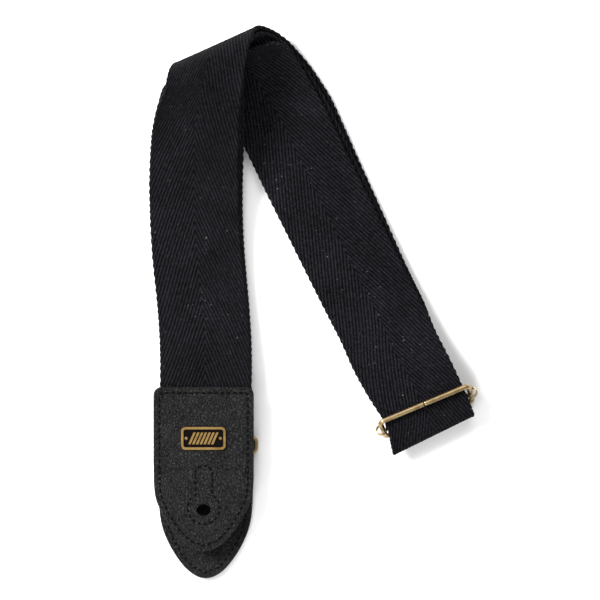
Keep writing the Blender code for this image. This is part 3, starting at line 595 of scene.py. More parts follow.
# %% Heights and the ends' outlines
PLY_THICK = 1.5
RING_WIRE = 3.0
RING_WIDTH = 58.2
RING_HEIGHT = 10.8
RING_PLACE = Vector((-58.7, -79.5, WEBBING_THICK + GAP + RING_WIRE / 2))
RING_REACH = (RING_HEIGHT - RING_WIRE) / 2
FRONT_X = -59.9
FRONT_TIP_Y = -138.4
FRONT_LENGTH = 91.4
BACK_PLY_Z = RING_PLACE.z + RING_WIRE / 2 + WEBBING_THICK + 2 * GAP + PLY_THICK / 2
WEBBING_IN_END_Z = BACK_PLY_Z + PLY_THICK / 2 + GAP + WEBBING_THICK / 2
TOP_PLY_Z = WEBBING_IN_END_Z + WEBBING_THICK / 2 + GAP + PLY_THICK / 2
TIP_PLY_Z = BACK_PLY_Z + PLY_THICK + GAP
WEBBING_START_Y = -68.0


def fitted_to_width(row):
    left, right = edges_of(row)
    spare = (right - left) * (WEBBING_WIDTH / CORE_WIDTH - 1) / 2
    return (*(left - spare), *(right + spare), *row[6:])


def width_in_frame(along):
    """The frame's side wires squeeze the strip as it passes between them."""
    far = min(1.0, ((along - SQUEEZE_MIDDLE) / SQUEEZE_REACH) ** 2)
    return WEBBING_WIDTH - FRAME_SQUEEZE * (1 - far)


def bar_wrap():
    stations = []
    for degrees in range(0, 226, 45):
        angle = math.radians(degrees)
        point = CENTRE_BAR - FRAME_DOWN * (WRAP_ALONG_FRAME * math.cos(angle))
        point += FRAME_OUT * (WRAP_ACROSS_FRAME * math.sin(angle))
        stations.append((point.x, point.y, 0.0, 0.0))
    return stations


def ring_wrap():
    radius = RING_WIRE / 2 + GAP + WEBBING_THICK / 2
    half = Vector((WEBBING_WIDTH / 2, 0, 0))
    rows = []
    for degrees in range(-90, -271, -30):
        angle = math.radians(degrees)
        turn = Vector((0, RING_REACH + radius * math.cos(angle), radius * math.sin(angle)))
        rows.append((*(RING_PLACE + turn - half), *(RING_PLACE + turn + half)))
    return rows


def webbing_rows(step):
    core = smooth_rows([fitted_to_width(row) for row in CORE], CORE_STEP)
    half = WEBBING_WIDTH / 2
    y, z = WEBBING_START_Y, WEBBING_IN_END_Z
    start = (FRONT_X - half, y, z, FRONT_X + half, y, z)
    rows = [start] + offset_layer(core, lambda row: row[6], lambda row: row[8])
    rows += [slider_row(s, width_in_frame(s[0])) for s in ARRIVING_A + BOTTOM_FOLD + LEAVING_B]
    rows += offset_layer(core, lambda row: -row[7], lambda row: row[9], lambda row: -row[10])[::-1]
    rows += ring_wrap()
    rows += offset_layer(core, lambda row: 0.0, lambda row: 0.0)
    rows += [slider_row(s, WEBBING_AT_BAR) for s in ARRIVING_C + bar_wrap() + SEWN_END]
    return smooth_rows(rows, step)


def run_lengths(rows):
    total, result = 0.0, [0.0]
    for here, there in zip(rows, rows[1:]):
        a, b = edges_of(here), edges_of(there)
        total += ((b[0] + b[1]) - (a[0] + a[1])).length / 2
        result.append(total)
    return result


route = webbing_rows(1.4)
lengths = run_lengths(route)
print("webbing in m:", round(lengths[-1] / 1000, 3), "rows:", len(route))

# %% [markdown]
# ## The webbing itself
#
# Real ribs are thick yarns, so they are modelled in the mesh and not only shaded: every point is
# lifted by the height of the rib that it lies on. The selvedges are small loops of weft, made as
# knobs along both edges. The webbing also isn't perfectly flat, so a slow ripple runs along it.

# %% Webbing mesh
RIB_HEIGHT = 0.17
KNOB_PITCH = 2.0
KNOB_DEPTH = 0.6
COLUMN_STEP = 0.46


def rib_height(across, along):
    phase = abs(across) * math.cos(RIB_ANGLE) / RIB_PITCH + along * math.sin(RIB_ANGLE) / RIB_PITCH
    return abs(math.sin(math.pi * phase)) ** 0.7 - 0.6


def columns_across():
    """Shares of the half width from -1 to 1, closer together in the rounded selvedges."""
    half = WEBBING_WIDTH / 2
    rounded = [half, half - 0.1, half - 0.3, half - 0.6]
    inner = half - 1.0
    count = round(2 * inner / COLUMN_STEP)
    middle = [-inner + 2 * inner * k / count for k in range(count + 1)]
    return [-r for r in rounded] + middle + rounded[::-1]


def make_webbing(rows, distances):
    half = WEBBING_WIDTH / 2
    across_list = columns_across()
    upper, lower, across_grid, along_grid = [], [], [], []
    ripple = random.Random(4)
    waves = [(ripple.uniform(40, 110), ripple.uniform(0, 6.28), ripple.uniform(-1, 1)) for _ in range(6)]
    for index, row in enumerate(rows):
        left, right = edges_of(row)
        normal_left, normal_right = normals_of(rows, index)
        s = distances[index]
        knob = KNOB_DEPTH * (0.5 + 0.5 * math.cos(2 * math.pi * s / KNOB_PITCH))
        top_line, bottom_line = [], []
        for across in across_list:
            share = (across / half + 1) / 2
            inward = math.copysign(knob, across) if abs(across) > half - 0.7 else 0.0
            point = left.lerp(right, share - inward / WEBBING_WIDTH)
            normal = normal_left.lerp(normal_right, share).normalized()
            from_edge = half - abs(across)
            rim = math.sqrt(max(0.0, 1 - (1 - min(from_edge / 0.9, 1.0)) ** 2))
            roll = 1.0 + 0.2 * math.exp(-((from_edge - 1.4) ** 2) / 0.8)
            thick = (WEBBING_THICK / 2 - RIB_HEIGHT * 0.4) * rim * roll
            rib = RIB_HEIGHT * rib_height(across, s) * rim
            sway = 0.10 * sum(math.sin(2 * math.pi * s / w + p + across * t * 0.06) for w, p, t in waves) / 6
            top_line.append(point + normal * (thick + rib + sway))
            bottom_line.append(point - normal * (thick + rib - sway))
        if index in (0, len(rows) - 1):
            middle = [(a + b) / 2 for a, b in zip(top_line, bottom_line)]
            top_line = bottom_line = middle
        upper.append(top_line)
        lower.append(bottom_line)
        across_grid.append(across_list)
        along_grid.append([s] * len(across_list))
    builder = closed_sheet(upper, lower, {"across": across_grid, "along": along_grid})
    return new_piece("woven_webbing", builder, cotton_finish, "strap", ["webbing"])


webbing = make_webbing(route, lengths)
print("webbing points:", len(webbing.data.vertices))

# %% [markdown]
# ## Side views that leather bends along
#
# Each leather ply is cut flat and then bent, so it is made the same way: a flat shape, and a side
# view that says where each distance from the tip goes. The front ply steps down from the webbing
# to the back ply. The rear ply climbs over the ring's lower wire and comes back beneath it.

# %% Side views
class SideView:
    def __init__(self, points):
        self.points = [Vector(p) for p in points]
        self.lengths = [0.0]
        for a, b in zip(self.points, self.points[1:]):
            self.lengths.append(self.lengths[-1] + (b - a).length)

    def normal(self, index):
        before = self.points[max(index - 1, 0)]
        along = (self.points[min(index + 1, len(self.points) - 1)] - before).normalized()
        return Vector((-along.y, along.x))

    def place(self, s, height):
        index = 0
        while index < len(self.lengths) - 2 and s > self.lengths[index + 1]:
            index += 1
        share = (s - self.lengths[index]) / (self.lengths[index + 1] - self.lengths[index])
        point = self.points[index].lerp(self.points[index + 1], share)
        normal = self.normal(index).lerp(self.normal(index + 1), min(max(share, 0.0), 1.0))
        return point + normal.normalized() * height


def eased(share):
    return share * share * (3 - 2 * share)


STEP_TOP_Y, STEP_BOTTOM_Y = -87.0, -95.0
REAR_X, REAR_TIP_Y, REAR_TAB = -59.0, -154.0, 15.0
REAR_BAR_Y = RING_PLACE.y - RING_REACH


def front_side():
    points = [(FRONT_TIP_Y, TIP_PLY_Z)]
    for k in range(13):
        y = STEP_BOTTOM_Y + (STEP_TOP_Y - STEP_BOTTOM_Y) * k / 12
        points.append((y, TIP_PLY_Z + (TOP_PLY_Z - TIP_PLY_Z) * eased(k / 12)))
    return SideView(points + [(FRONT_TIP_Y + FRONT_LENGTH, TOP_PLY_Z)])


def rear_side():
    radius = RING_WIRE / 2 + GAP + PLY_THICK / 2
    low, high = PLY_THICK * 1.5 + GAP, RING_PLACE.z + radius
    points = [(REAR_TIP_Y, low)]
    for k in range(13):
        points.append((REAR_BAR_Y - REAR_TAB * (1 - k / 12), low + (high - low) * eased(k / 12)))
    for degrees in range(75, -91, -15):
        angle = math.radians(degrees)
        points.append((REAR_BAR_Y + radius * math.cos(angle), RING_PLACE.z + radius * math.sin(angle)))
    under = PLY_THICK / 2
    tab = [(REAR_BAR_Y - 4, under + 0.2), (REAR_BAR_Y - 7, under), (REAR_BAR_Y - REAR_TAB, under)]
    return SideView(points + tab)


front_view = front_side()
rear_view = rear_side()
front_back_view = SideView([(FRONT_TIP_Y, BACK_PLY_Z), (FRONT_TIP_Y + FRONT_LENGTH, BACK_PLY_Z)])
rear_back_view = SideView([(REAR_TIP_Y, PLY_THICK / 2), (REAR_BAR_Y - REAR_TAB - 1, PLY_THICK / 2)])
print("rear ply in mm:", round(rear_view.lengths[-1], 1))

# %% [markdown]
# ## Leather plies
#
# A ply is a grid that follows its own outline: each row runs from one side to the other, so the
# points stay in line with the edge. That keeps the edge round, and lets a shallow channel follow
# the seam, where the thread has pulled the leather down. The button hole and its slit are then
# cut through, as a punch does.

# %% Ply shapes
FRONT_TAPER = (5.03, 20.0)
REAR_TAPER = (4.7, 12.0)
CORNER = 4.5
SEAM_INSET = 3.3
HOLE_RADIUS = 3.9
HOLE_SQUASH = 0.85
HOLE_FROM_TIP = 23.1
SLIT_LENGTH = 13.0
KEYHOLE_RADIUS = 8.8
KEYHOLE_STEM = 9.4
KEYHOLE_TOP = 48.2


class Outline:
    """Half the width of a leather end at each distance from its tip."""

    def __init__(self, half, taper, length, corner=CORNER, neck=None):
        self.half, self.length, self.corner, self.neck = half, length, corner, neck
        self.reach, self.power = taper

    def at(self, s):
        rounded = max(self.reach * math.sqrt(max(s, 0.0)), 1e-3)
        width = (rounded**-self.power + self.half**-self.power) ** (-1 / self.power)
        if self.neck:
            share = min(max((s - self.neck[0]) / 8.0, 0.0), 1.0)
            width += (self.neck[1] - self.half) * eased(share)
        over = s - (self.length - self.corner)
        if over > 0:
            width -= self.corner - math.sqrt(max(self.corner**2 - over**2, 0.0))
        return width

    def edge_distance(self, s, x):
        slope = (self.at(s + 0.3) - self.at(max(s - 0.3, 0.0))) / 0.6
        side = (self.at(s) - abs(x)) / math.sqrt(1 + slope * slope)
        return max(0.0, min(side, self.length - s))


EDGE_STEPS = [0.0, 0.08, 0.22, 0.45, 0.8, 1.5, 2.3, 2.8, 3.3, 3.8, 4.3]


def ply_rows(length):
    tip = [0.0, 0.02, 0.08, 0.2, 0.4, 0.7, 1.1, 1.6, 2.2, 2.8, 3.3, 3.8, 4.4, 5.2]
    count = round((length - 5.2 - 5.0) / 1.1)
    middle = [5.2 + (length - 10.2) * k / count for k in range(1, count + 1)]
    top = [length - d for d in (4.3, 3.8, 3.3, 2.8, 2.3, 1.5, 0.8, 0.45, 0.22, 0.08, 0.0)]
    return tip + middle + top


def ply_columns(half):
    """Places across one row: fixed distances from the edge, then even ones."""
    scale = min(1.0, half / 9.0)
    near = [half - d * scale for d in EDGE_STEPS]
    inner = near[-1]
    count = 26
    middle = [-inner + 2 * inner * k / count for k in range(1, count)]
    return [-x for x in near] + middle + near[::-1]


def keyhole_distance(x, s):
    """How far a point is from the line of stitches round the button hole."""
    round_part = abs(math.hypot(x, s - HOLE_FROM_TIP - 1) - KEYHOLE_RADIUS)
    neck = HOLE_FROM_TIP + 1 + math.sqrt(KEYHOLE_RADIUS**2 - (KEYHOLE_STEM / 2) ** 2)
    if s < neck:
        return round_part if abs(x) > KEYHOLE_STEM / 2 or s < HOLE_FROM_TIP + 1 else 9.0
    cap = KEYHOLE_TOP - KEYHOLE_STEM / 2
    if s < cap:
        return abs(abs(x) - KEYHOLE_STEM / 2)
    return abs(math.hypot(x, s - cap) - KEYHOLE_STEM / 2)


def ply(name, outline, view, x0, body, replaced, seam_top=True, keyhole=True):
    upper, lower, edge_grid = [], [], []
    rows = ply_rows(outline.length)
    for s in rows:
        half = outline.at(s)
        line_up, line_down, edges = [], [], []
        for x in ply_columns(half):
            from_edge = outline.edge_distance(s, x)
            rim = math.sqrt(max(0.0, 1 - (1 - min(from_edge / 0.7, 1.0)) ** 2))
            thick = PLY_THICK / 2 * rim
            sunk = 0.26 * math.exp(-((from_edge - SEAM_INSET) ** 2) / 0.5) if seam_top else 0.0
            if keyhole:
                sunk = max(sunk, 0.2 * math.exp(-(keyhole_distance(x, s) ** 2) / 0.7))
            puff = 0.10 * (1 - math.exp(-from_edge / 3.0))
            up, down = view.place(s, thick - sunk + puff * rim - 0.1), view.place(s, -thick)
            line_up.append(Vector((x0 + x, up.x, up.y)))
            line_down.append(Vector((x0 + x, down.x, down.y)))
            edges.append(1.0 - rim if from_edge < 0.7 else 0.0)
        if s in (rows[0], rows[-1]):
            line_up = line_down = [(a + b) / 2 for a, b in zip(line_up, line_down)]
        upper.append(line_up)
        lower.append(line_down)
        edge_grid.append(edges)
    builder = closed_sheet(upper, lower, {"cut_edge": edge_grid})
    bmesh.ops.remove_doubles(builder, verts=builder.verts, dist=0.004)
    bmesh.ops.dissolve_degenerate(builder, edges=builder.edges, dist=0.001)
    return new_piece(name, builder, leather_finish, body, replaced)


# %% [markdown]
# The punch is a cutter with the hole's outline: a circle with a narrow slit up from it. It is
# removed after the cut has been applied to the mesh.

# %% Punching the button holes
def punch(piece, x, tip_y, low, high):
    builder = bmesh.new()
    outline = []
    half_slit = 0.05
    start = math.asin(half_slit / HOLE_RADIUS)
    for k in range(49):
        angle = math.pi / 2 + start + (2 * math.pi - 2 * start) * k / 48
        rise = HOLE_RADIUS * HOLE_SQUASH * math.sin(angle)
        outline.append((HOLE_RADIUS * math.cos(angle), HOLE_FROM_TIP + rise))
    top = HOLE_FROM_TIP + HOLE_RADIUS + SLIT_LENGTH
    outline += [(half_slit, top), (-half_slit, top)]
    verts = [builder.verts.new((x + px, tip_y + py, low)) for px, py in outline]
    face = builder.faces.new(verts)
    moved = bmesh.ops.extrude_face_region(builder, geom=[face])["geom"]
    for vert in (v for v in moved if isinstance(v, bmesh.types.BMVert)):
        vert.co.z = high
    bmesh.ops.recalc_face_normals(builder, faces=builder.faces)
    for vert in builder.verts:
        vert.co = (vert.co + LAYOUT) * MM
    mesh = bpy.data.meshes.new("punch")
    builder.to_mesh(mesh)
    builder.free()
    cutter = bpy.data.objects.new("punch", mesh)
    bpy.context.scene.collection.objects.link(cutter)
    cut = piece.modifiers.new("hole", "BOOLEAN")
    cut.operation = "DIFFERENCE"
    cut.object = cutter
    bpy.context.view_layer.update()
    evaluated = piece.evaluated_get(bpy.context.evaluated_depsgraph_get())
    punched = bpy.data.meshes.new_from_object(evaluated)
    piece.modifiers.clear()
    piece.data = punched
    piece.data.shade_smooth()
    piece.data.set_sharp_from_angle(angle=math.radians(50))
    bpy.data.objects.remove(cutter, do_unlink=True)


FRONT_HALF, REAR_HALF = 27.8, 26.5
front_outline = Outline(FRONT_HALF, FRONT_TAPER, front_view.lengths[-1])
front_back_outline = Outline(FRONT_HALF, FRONT_TAPER, FRONT_LENGTH)
REAR_NECK = (REAR_BAR_Y - REAR_TAB - REAR_TIP_Y, 24.7)
rear_outline = Outline(REAR_HALF, REAR_TAPER, rear_view.lengths[-1], corner=0.6, neck=REAR_NECK)
rear_back_outline = Outline(REAR_HALF, REAR_TAPER, rear_back_view.lengths[-1], corner=1.0)

front_top = ply("front_top_ply", front_outline, front_view, FRONT_X, "strap", ["front_end_top_leather"])
front_back = ply(
    "front_back_ply", front_back_outline, front_back_view, FRONT_X, "strap", ["front_end_back_leather"]
)
rear_top = ply(
    "rear_top_ply", rear_outline, rear_view, REAR_X, "rear_end", ["rear_end_top_leather"], seam_top=False
)
rear_back = ply(
    "rear_back_ply", rear_back_outline, rear_back_view, REAR_X, "rear_end", ["rear_end_back_leather"]
)
FRONT_PUNCH, REAR_PUNCH = (6.0, 16.0), (-1.0, 5.5)
for piece in (front_top, front_back):
    punch(piece, FRONT_X, FRONT_TIP_Y, *FRONT_PUNCH)
for piece in (rear_top, rear_back):
    punch(piece, REAR_X, REAR_TIP_Y, *REAR_PUNCH)
print("front ply points:", len(front_top.data.vertices))

# %% [markdown]
# ## Stitches
#
# A lock stitch shows as short dashes that dive into the leather at both ends. Each stitch is a
# small tube bent like a staple, and one function lays them along any line on the leather.

# %% Stitches
THREAD_RADIUS = 0.55
STITCH_PITCH = 3.4
STITCH_LENGTH = 1.9


def spaced(loop, pitch):
    """Points and directions at an even pitch round a closed line."""
    total = sum((b - a).length for a, b in zip(loop, loop[1:] + loop[:1]))
    count = max(8, round(total / pitch))
    step, wanted, walked, result = total / count, 0.0, 0.0, []
    for a, b in zip(loop, loop[1:] + loop[:1]):
        length = (b - a).length
        while length > 0 and wanted < walked + length and len(result) < count:
            result.append((a.lerp(b, (wanted - walked) / length), (b - a).normalized()))
            wanted += step
        walked += length
    return result


def stitch_tube(builder, centre_of, radius, rings=7, sides=7):
    """One stitch: a round tube along the points that centre_of gives for shares from 0 to 1."""
    loops = []
    for i in range(rings):
        here, side, up = centre_of(i / (rings - 1))
        swell = radius * (1.3 - 0.45 * math.sin(math.pi * i / (rings - 1)))
        loop = []
        for k in range(sides):
            angle = 2 * math.pi * k / sides
            arm = side * (swell * math.cos(angle)) + up * (swell * math.sin(angle))
            loop.append(builder.verts.new(here + arm))
        loops.append(loop)
    for a, b in zip(loops, loops[1:]):
        for k in range(sides):
            builder.faces.new((a[k], a[(k + 1) % sides], b[(k + 1) % sides], b[k]))
    builder.faces.new(loops[0][::-1])
    builder.faces.new(loops[-1])


def sew(name, loops, view, x0, body, replaced, face=1.0, level=PLY_THICK / 2, pitch=STITCH_PITCH):
    """Stitches along closed lines given as (x, distance from the tip)."""
    builder = bmesh.new()
    for loop in loops:
        for point, direction in spaced(loop, pitch):
            def centre(share, point=point, direction=direction):
                offset = (share - 0.5) * STITCH_LENGTH
                flat = point + direction * offset
                dive = 0.42 * (2 * abs(share - 0.5)) ** 3
                height = face * (level - 0.12 - dive)
                spot = view.place(flat.y, height)
                above = view.place(flat.y, height + face * 0.1)
                ahead = view.place(flat.y + 0.1, height)
                up = Vector((0, above.x - spot.x, above.y - spot.y)).normalized()
                forward = Vector((0, ahead.x - spot.x, ahead.y - spot.y)).normalized()
                run = Vector((direction.x, 0, 0)) + forward * direction.y
                return Vector((x0 + flat.x, spot.x, spot.y)), run.cross(up).normalized(), up
            stitch_tube(builder, centre, THREAD_RADIUS)
    return new_piece(name, builder, thread_finish, body, replaced)


def inset_loop(outline, inset, top, step=1.0):
    """The seam line that runs a fixed distance inside a leather end's edge."""
    right = []
    s = inset
    while s < top - 2.5:
        slope = (outline.at(s + 0.3) - outline.at(max(s - 0.3, 0.01))) / 0.6
        normal = Vector((1.0, -slope)).normalized()
        point = Vector((outline.at(s), s)) - normal * inset
        if point.x > 0.3 and point.y > inset:
            right.append(point)
        s += step
    side = right[-1].x
    for k in range(1, 6):
        angle = math.radians(90 * k / 5)
        right.append(Vector((side - 2.0 * (1 - math.cos(angle)), top - 2.0 + 2.0 * math.sin(angle))))
    return [Vector((0.0, inset))] + right + [Vector((-p.x, p.y)) for p in reversed(right)]


def keyhole_loop():
    half = KEYHOLE_STEM / 2
    join = math.asin(half / KEYHOLE_RADIUS)
    points = []
    for k in range(33):
        angle = math.pi / 2 + join + (2 * math.pi - 2 * join) * k / 32
        rise = KEYHOLE_RADIUS * math.sin(angle)
        points.append(Vector((KEYHOLE_RADIUS * math.cos(angle), HOLE_FROM_TIP + 1 + rise)))
    for k in range(13):
        angle = math.pi * k / 12
        points.append(Vector((half * math.cos(angle), KEYHOLE_TOP - half + half * math.sin(angle))))
    return points


front_seam = inset_loop(front_outline, SEAM_INSET, front_outline.length - SEAM_INSET)
rear_seam = inset_loop(rear_outline, SEAM_INSET, REAR_BAR_Y - REAR_TAB - REAR_TIP_Y + 8)
sew("front_edge_stitches", [front_seam], front_view, FRONT_X, "strap", ["front_end_edge_stitching"])
sew("front_keyhole_stitches", [keyhole_loop()], front_view, FRONT_X, "strap", ["front_end_keyhole_stitching"])
sew("rear_edge_stitches", [rear_seam], rear_view, REAR_X, "rear_end", ["rear_end_edge_stitching"])
sew("rear_keyhole_stitches", [keyhole_loop()], rear_view, REAR_X, "rear_end", ["rear_end_keyhole_stitching"])
sew("front_back_stitches", [front_seam, keyhole_loop()], front_back_view, FRONT_X, "strap", [], face=-1.0)
print("stitched")

# %% [markdown]
# ## Ring and slider
#
# Both are bent from round wire. A wire is a curve with a round bevel: the path only needs its
# straight runs and corner arcs. The slider's wire starts and ends in the middle of its front bar,
# where the butt seam stays visible, so its ends are drawn as slightly rounded.

# %% Wire parts
RING_CORNER = 2.6
SLIDER_CORNER = 2.6
SEAM_GAP = 0.35


def rounded_rectangle(half_x, half_y, radius, steps=10):
    points = []
    for quarter, (sx, sy) in enumerate(((1, 1), (-1, 1), (-1, -1), (1, -1))):
        for k in range(steps + 1):
            angle = math.radians(90 * quarter + 90 * k / steps)
            x = sx * (half_x - radius) + radius * math.cos(angle)
            points.append(Vector((x, sy * (half_y - radius) + radius * math.sin(angle))))
    return points


def sweep(path, radii, across_of, closed, sides=20):
    """A round tube along a path of points; radii may shrink at its ends."""
    builder = bmesh.new()
    loops = []
    count = len(path)
    for i, here in enumerate(path):
        before = path[i - 1] if closed or i > 0 else here
        after = path[(i + 1) % count] if closed or i < count - 1 else here
        run = (after - before).normalized()
        side = across_of.cross(run).normalized()
        loop = []
        for k in range(sides):
            angle = 2 * math.pi * k / sides
            arm = side * math.cos(angle) + across_of * math.sin(angle)
            loop.append(builder.verts.new(here + arm * radii[i]))
        loops.append(loop)
    pairs = list(zip(loops, loops[1:])) + ([(loops[-1], loops[0])] if closed else [])
    for a, b in pairs:
        for k in range(sides):
            builder.faces.new((a[k], a[(k + 1) % sides], b[(k + 1) % sides], b[k]))
    if not closed:
        builder.faces.new(loops[0][::-1])
        builder.faces.new(loops[-1])
    return builder


ring_path = rounded_rectangle((RING_WIDTH - RING_WIRE) / 2, RING_REACH, RING_CORNER)
ring_points = [RING_PLACE + Vector((p.x, p.y, 0)) for p in ring_path]
ring_builder = sweep(ring_points, [RING_WIRE / 2] * len(ring_points), Vector((0, 0, 1)), True)
new_piece("wire_ring", ring_builder, brass_finish, "ring", ["ring"])


def slider_point(x, down, out):
    flat = CENTRE_BAR + FRAME_DOWN * down + FRAME_OUT * out
    return SLIDER_PLACE + SLIDER_ALONG * flat.x + SLIDER_ACROSS * x + Vector((0, 0, flat.y))


SLIDER_NORMAL = (slider_point(0, 0, 1) - slider_point(0, 0, 0)).normalized()
half_x, half_y = (SLIDER_WIDTH - SLIDER_WIRE) / 2, (SLIDER_HEIGHT - SLIDER_WIRE) / 2
corners = rounded_rectangle(half_x, half_y, SLIDER_CORNER)
wire = corners[11:] + corners[:11]
end_steps = [0.0, 0.12, 0.4, 1.2]
start_end = [Vector((-SEAM_GAP / 2 - d, half_y)) for d in end_steps]
last_end = [Vector((SEAM_GAP / 2 + d, half_y)) for d in reversed(end_steps)]
wire_path = start_end + wire + last_end
end_radii = [SLIDER_WIRE / 2 * r for r in (0.78, 0.93, 1.0, 1.0)]
wire_radii = end_radii + [SLIDER_WIRE / 2] * len(wire) + end_radii[::-1]
wire_points = [slider_point(p.x, -p.y, 0.0) for p in wire_path]
frame_builder = sweep(wire_points, wire_radii, SLIDER_NORMAL, False)
frame_piece = new_piece(
    "wire_slider_frame", frame_builder, brass_finish, "slider_frame", ["slider_frame"]
)
frame_piece.data.set_sharp_from_angle(angle=math.radians(45))
print("slider wire points:", len(wire_points))

# %% [markdown]
# The slider's bar is a strip of sheet brass. Its ends are curled round the side wires into open
# eyes. The strip is one path with a rounded rectangular section, swept like the wire.

# %% Slider bar
BAR_THICK = 0.7
BAR_WIDTH = 2.4
EYE_CLEARANCE = 0.2
EYE_SLACK = 0.8
EYE_TURN = math.radians(300)


def make_bar():
    radius = SLIDER_WIRE / 2 + EYE_CLEARANCE + BAR_THICK / 2 + EYE_SLACK
    right = []
    for k in range(33):
        angle = math.pi - EYE_TURN * k / 32
        right.append(Vector((half_x + EYE_SLACK + radius * math.cos(angle), radius * math.sin(angle))))
    straight = [Vector((x, 0.0)) for x in (-20, -10, 0, 10, 20)]
    path = [Vector((-p.x, p.y)) for p in reversed(right)] + straight + right
    bevel = 0.22
    w, t = BAR_WIDTH / 2, BAR_THICK / 2
    section = [(w, t - bevel), (w - bevel, t), (bevel - w, t), (-w, t - bevel)]
    section += [(-a, -b) for a, b in section]
    builder = bmesh.new()
    loops = []
    for i, here in enumerate(path):
        before, after = path[max(i - 1, 0)], path[min(i + 1, len(path) - 1)]
        run = (after - before).normalized()
        lift = Vector((-run.y, run.x))
        loop = []
        for down, out in section:
            spot = here + lift * out
            loop.append(builder.verts.new(slider_point(spot.x, down, spot.y)))
        loops.append(loop)
    for a, b in zip(loops, loops[1:]):
        for k in range(len(section)):
            n = (k + 1) % len(section)
            builder.faces.new((a[k], a[n], b[n], b[k]))
    builder.faces.new(loops[0][::-1])
    builder.faces.new(loops[-1])
    piece = new_piece("curled_slider_bar", builder, brass_finish, "slider_bar", ["slider_bar"])
    piece.data.set_sharp_from_angle(angle=math.radians(50))


make_bar()

# %% [markdown]
# ## Badge
#
# The badge is a small cast plate, held by two prongs. It carries no name: a raised rim, a row of
# slanted ribs and two round bosses make a plain pattern that catches the light as cast brass does.

# %% Badge
BADGE_WIDTH, BADGE_HEIGHT, BADGE_Y = 25.0, 13.0, -75.4
BADGE_TOP = TOP_PLY_Z + PLY_THICK / 2 + GAP
BOSS_RADIUS, BOSS_X = 0.95, 9.5
RIB_SPACING, RIB_HALF, RIB_LEAN, RIB_REACH = 2.1, 0.68, 1.5, 3.4
badge_brass = make_brass("cast_brass", (0.66, 0.45, 0.17), (0.22, 0.13, 0.045), 0.30)
black_patina = plain_material("black_patina", (0.002, 0.0016, 0.0012), 0.8)
black_patina.node_tree.nodes["Principled BSDF"].inputs["Specular IOR Level"].default_value = 0.05


def slab(builder, outline, low, high, inset):
    """A raised shape with a chamfered top, from a flat outline."""
    base = [builder.verts.new((p.x, p.y, low)) for p in outline]
    wall = [builder.verts.new((p.x, p.y, high - inset)) for p in outline]
    centre = sum(outline, Vector((0, 0))) / len(outline)
    top = [builder.verts.new((*(p + (centre - p).normalized() * inset), high)) for p in outline]
    count = len(outline)
    for a, b in ((base, wall), (wall, top)):
        for k in range(count):
            builder.faces.new((a[k], a[(k + 1) % count], b[(k + 1) % count], b[k]))
    builder.faces.new(top)
    builder.faces.new(base[::-1])


def shifted(points, x, y):
    return [p + Vector((x, y)) for p in points]


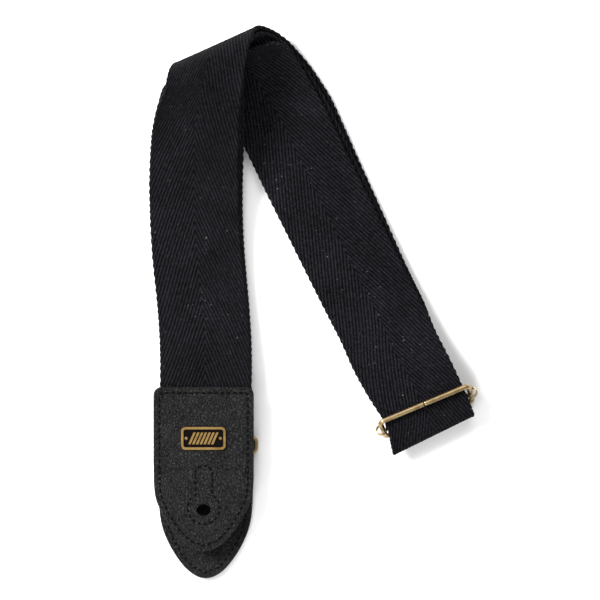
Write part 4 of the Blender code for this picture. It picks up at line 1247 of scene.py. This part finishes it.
def make_badge():
    builder = bmesh.new()
    cx, cy = FRONT_X, BADGE_Y
    plate = shifted(rounded_rectangle(BADGE_WIDTH / 2, BADGE_HEIGHT / 2, 2.6, 6), cx, cy)
    slab(builder, plate, BADGE_TOP - 0.15, BADGE_TOP + 0.35, 0.12)
    outer = rounded_rectangle(BADGE_WIDTH / 2 - 0.1, BADGE_HEIGHT / 2 - 0.1, 2.5, 6)
    inner = rounded_rectangle(BADGE_WIDTH / 2 - 1.6, BADGE_HEIGHT / 2 - 1.6, 1.3, 6)
    low, high = BADGE_TOP + 0.25, BADGE_TOP + 0.95
    rings = []
    rim = ((outer, low, 0), (outer, high - 0.2, 0), (outer, high, 1), (inner, high, 1), (inner, low, 0))
    for points, z, pull in rim:
        shrink = 0.2 * pull * (1 if points is outer else -1)
        ring = []
        for p in points:
            q = p * (1 - shrink / p.length) + Vector((cx, cy))
            ring.append(builder.verts.new((q.x, q.y, z)))
        rings.append(ring)
    rings.append(rings[0])
    for a, b in zip(rings, rings[1:]):
        for k in range(len(a)):
            builder.faces.new((a[k], a[(k + 1) % len(a)], b[(k + 1) % len(a)], b[k]))
    for k in range(-3, 4):
        foot, head = k * RIB_SPACING - RIB_LEAN, k * RIB_SPACING + RIB_LEAN
        rib = [Vector((foot - RIB_HALF, -RIB_REACH)), Vector((foot + RIB_HALF, -RIB_REACH))]
        rib += [Vector((head + RIB_HALF, RIB_REACH)), Vector((head - RIB_HALF, RIB_REACH))]
        slab(builder, shifted(rib, cx, cy), BADGE_TOP + 0.25, BADGE_TOP + 0.85, 0.22)
    for side in (-1, 1):
        turns = [k * math.pi / 8 for k in range(16)]
        boss = [Vector((math.cos(a), math.sin(a))) * BOSS_RADIUS for a in turns]
        slab(builder, shifted(boss, cx + side * BOSS_X, cy), BADGE_TOP + 0.25, BADGE_TOP + 0.9, 0.3)
    hollow_top = BADGE_TOP + 0.4
    sunk = [face.calc_center_median().z < hollow_top for face in builder.faces]
    piece = new_piece("cast_badge", builder, badge_brass, "strap", ["badge"])
    piece.data.materials.append(black_patina)
    for polygon, low in zip(piece.data.polygons, sunk):
        polygon.material_index = int(low)
    piece.data.set_sharp_from_angle(angle=math.radians(35))


make_badge()
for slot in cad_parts["badge_washer"].material_slots:
    slot.material = badge_brass
print("badge made")

# %% [markdown]
# ## The webbing's end seam
#
# Two rows of stitches close the loop of webbing round the slider's bar. They lie beneath the
# arm, so they only show from below, but the loop would look loose without them.

# %% End seam
def end_height(along):
    rows = sorted(SEWN_END)
    for low, high in zip(rows, rows[1:]):
        if low[0] <= along <= high[0]:
            share = (along - low[0]) / (high[0] - low[0])
            return low[1] + (high[1] - low[1]) * share - WEBBING_THICK / 2
    return rows[0][1] - WEBBING_THICK / 2


def make_end_seam():
    builder = bmesh.new()
    box = [Vector((-9, -20)), Vector((-9, 20)), Vector((-19, 20)), Vector((-19, -20))]
    for point, direction in spaced(box, 3.0):
        def centre(share, point=point, direction=direction):
            flat = point + direction * ((share - 0.5) * 2.2)
            dive = 0.4 * (2 * abs(share - 0.5)) ** 3
            spot = SLIDER_PLACE + SLIDER_ALONG * flat.x + SLIDER_ACROSS * (flat.y - 1.2)
            spot = spot + Vector((0, 0, end_height(flat.x) - 0.25 + dive))
            run = SLIDER_ALONG * direction.x + SLIDER_ACROSS * direction.y
            up = Vector((0, 0, 1))
            return spot, run.cross(up).normalized(), up
        stitch_tube(builder, centre, THREAD_RADIUS)
    new_piece("end_seam_stitches", builder, thread_finish, "strap", ["webbing_end_seam"])


make_end_seam()
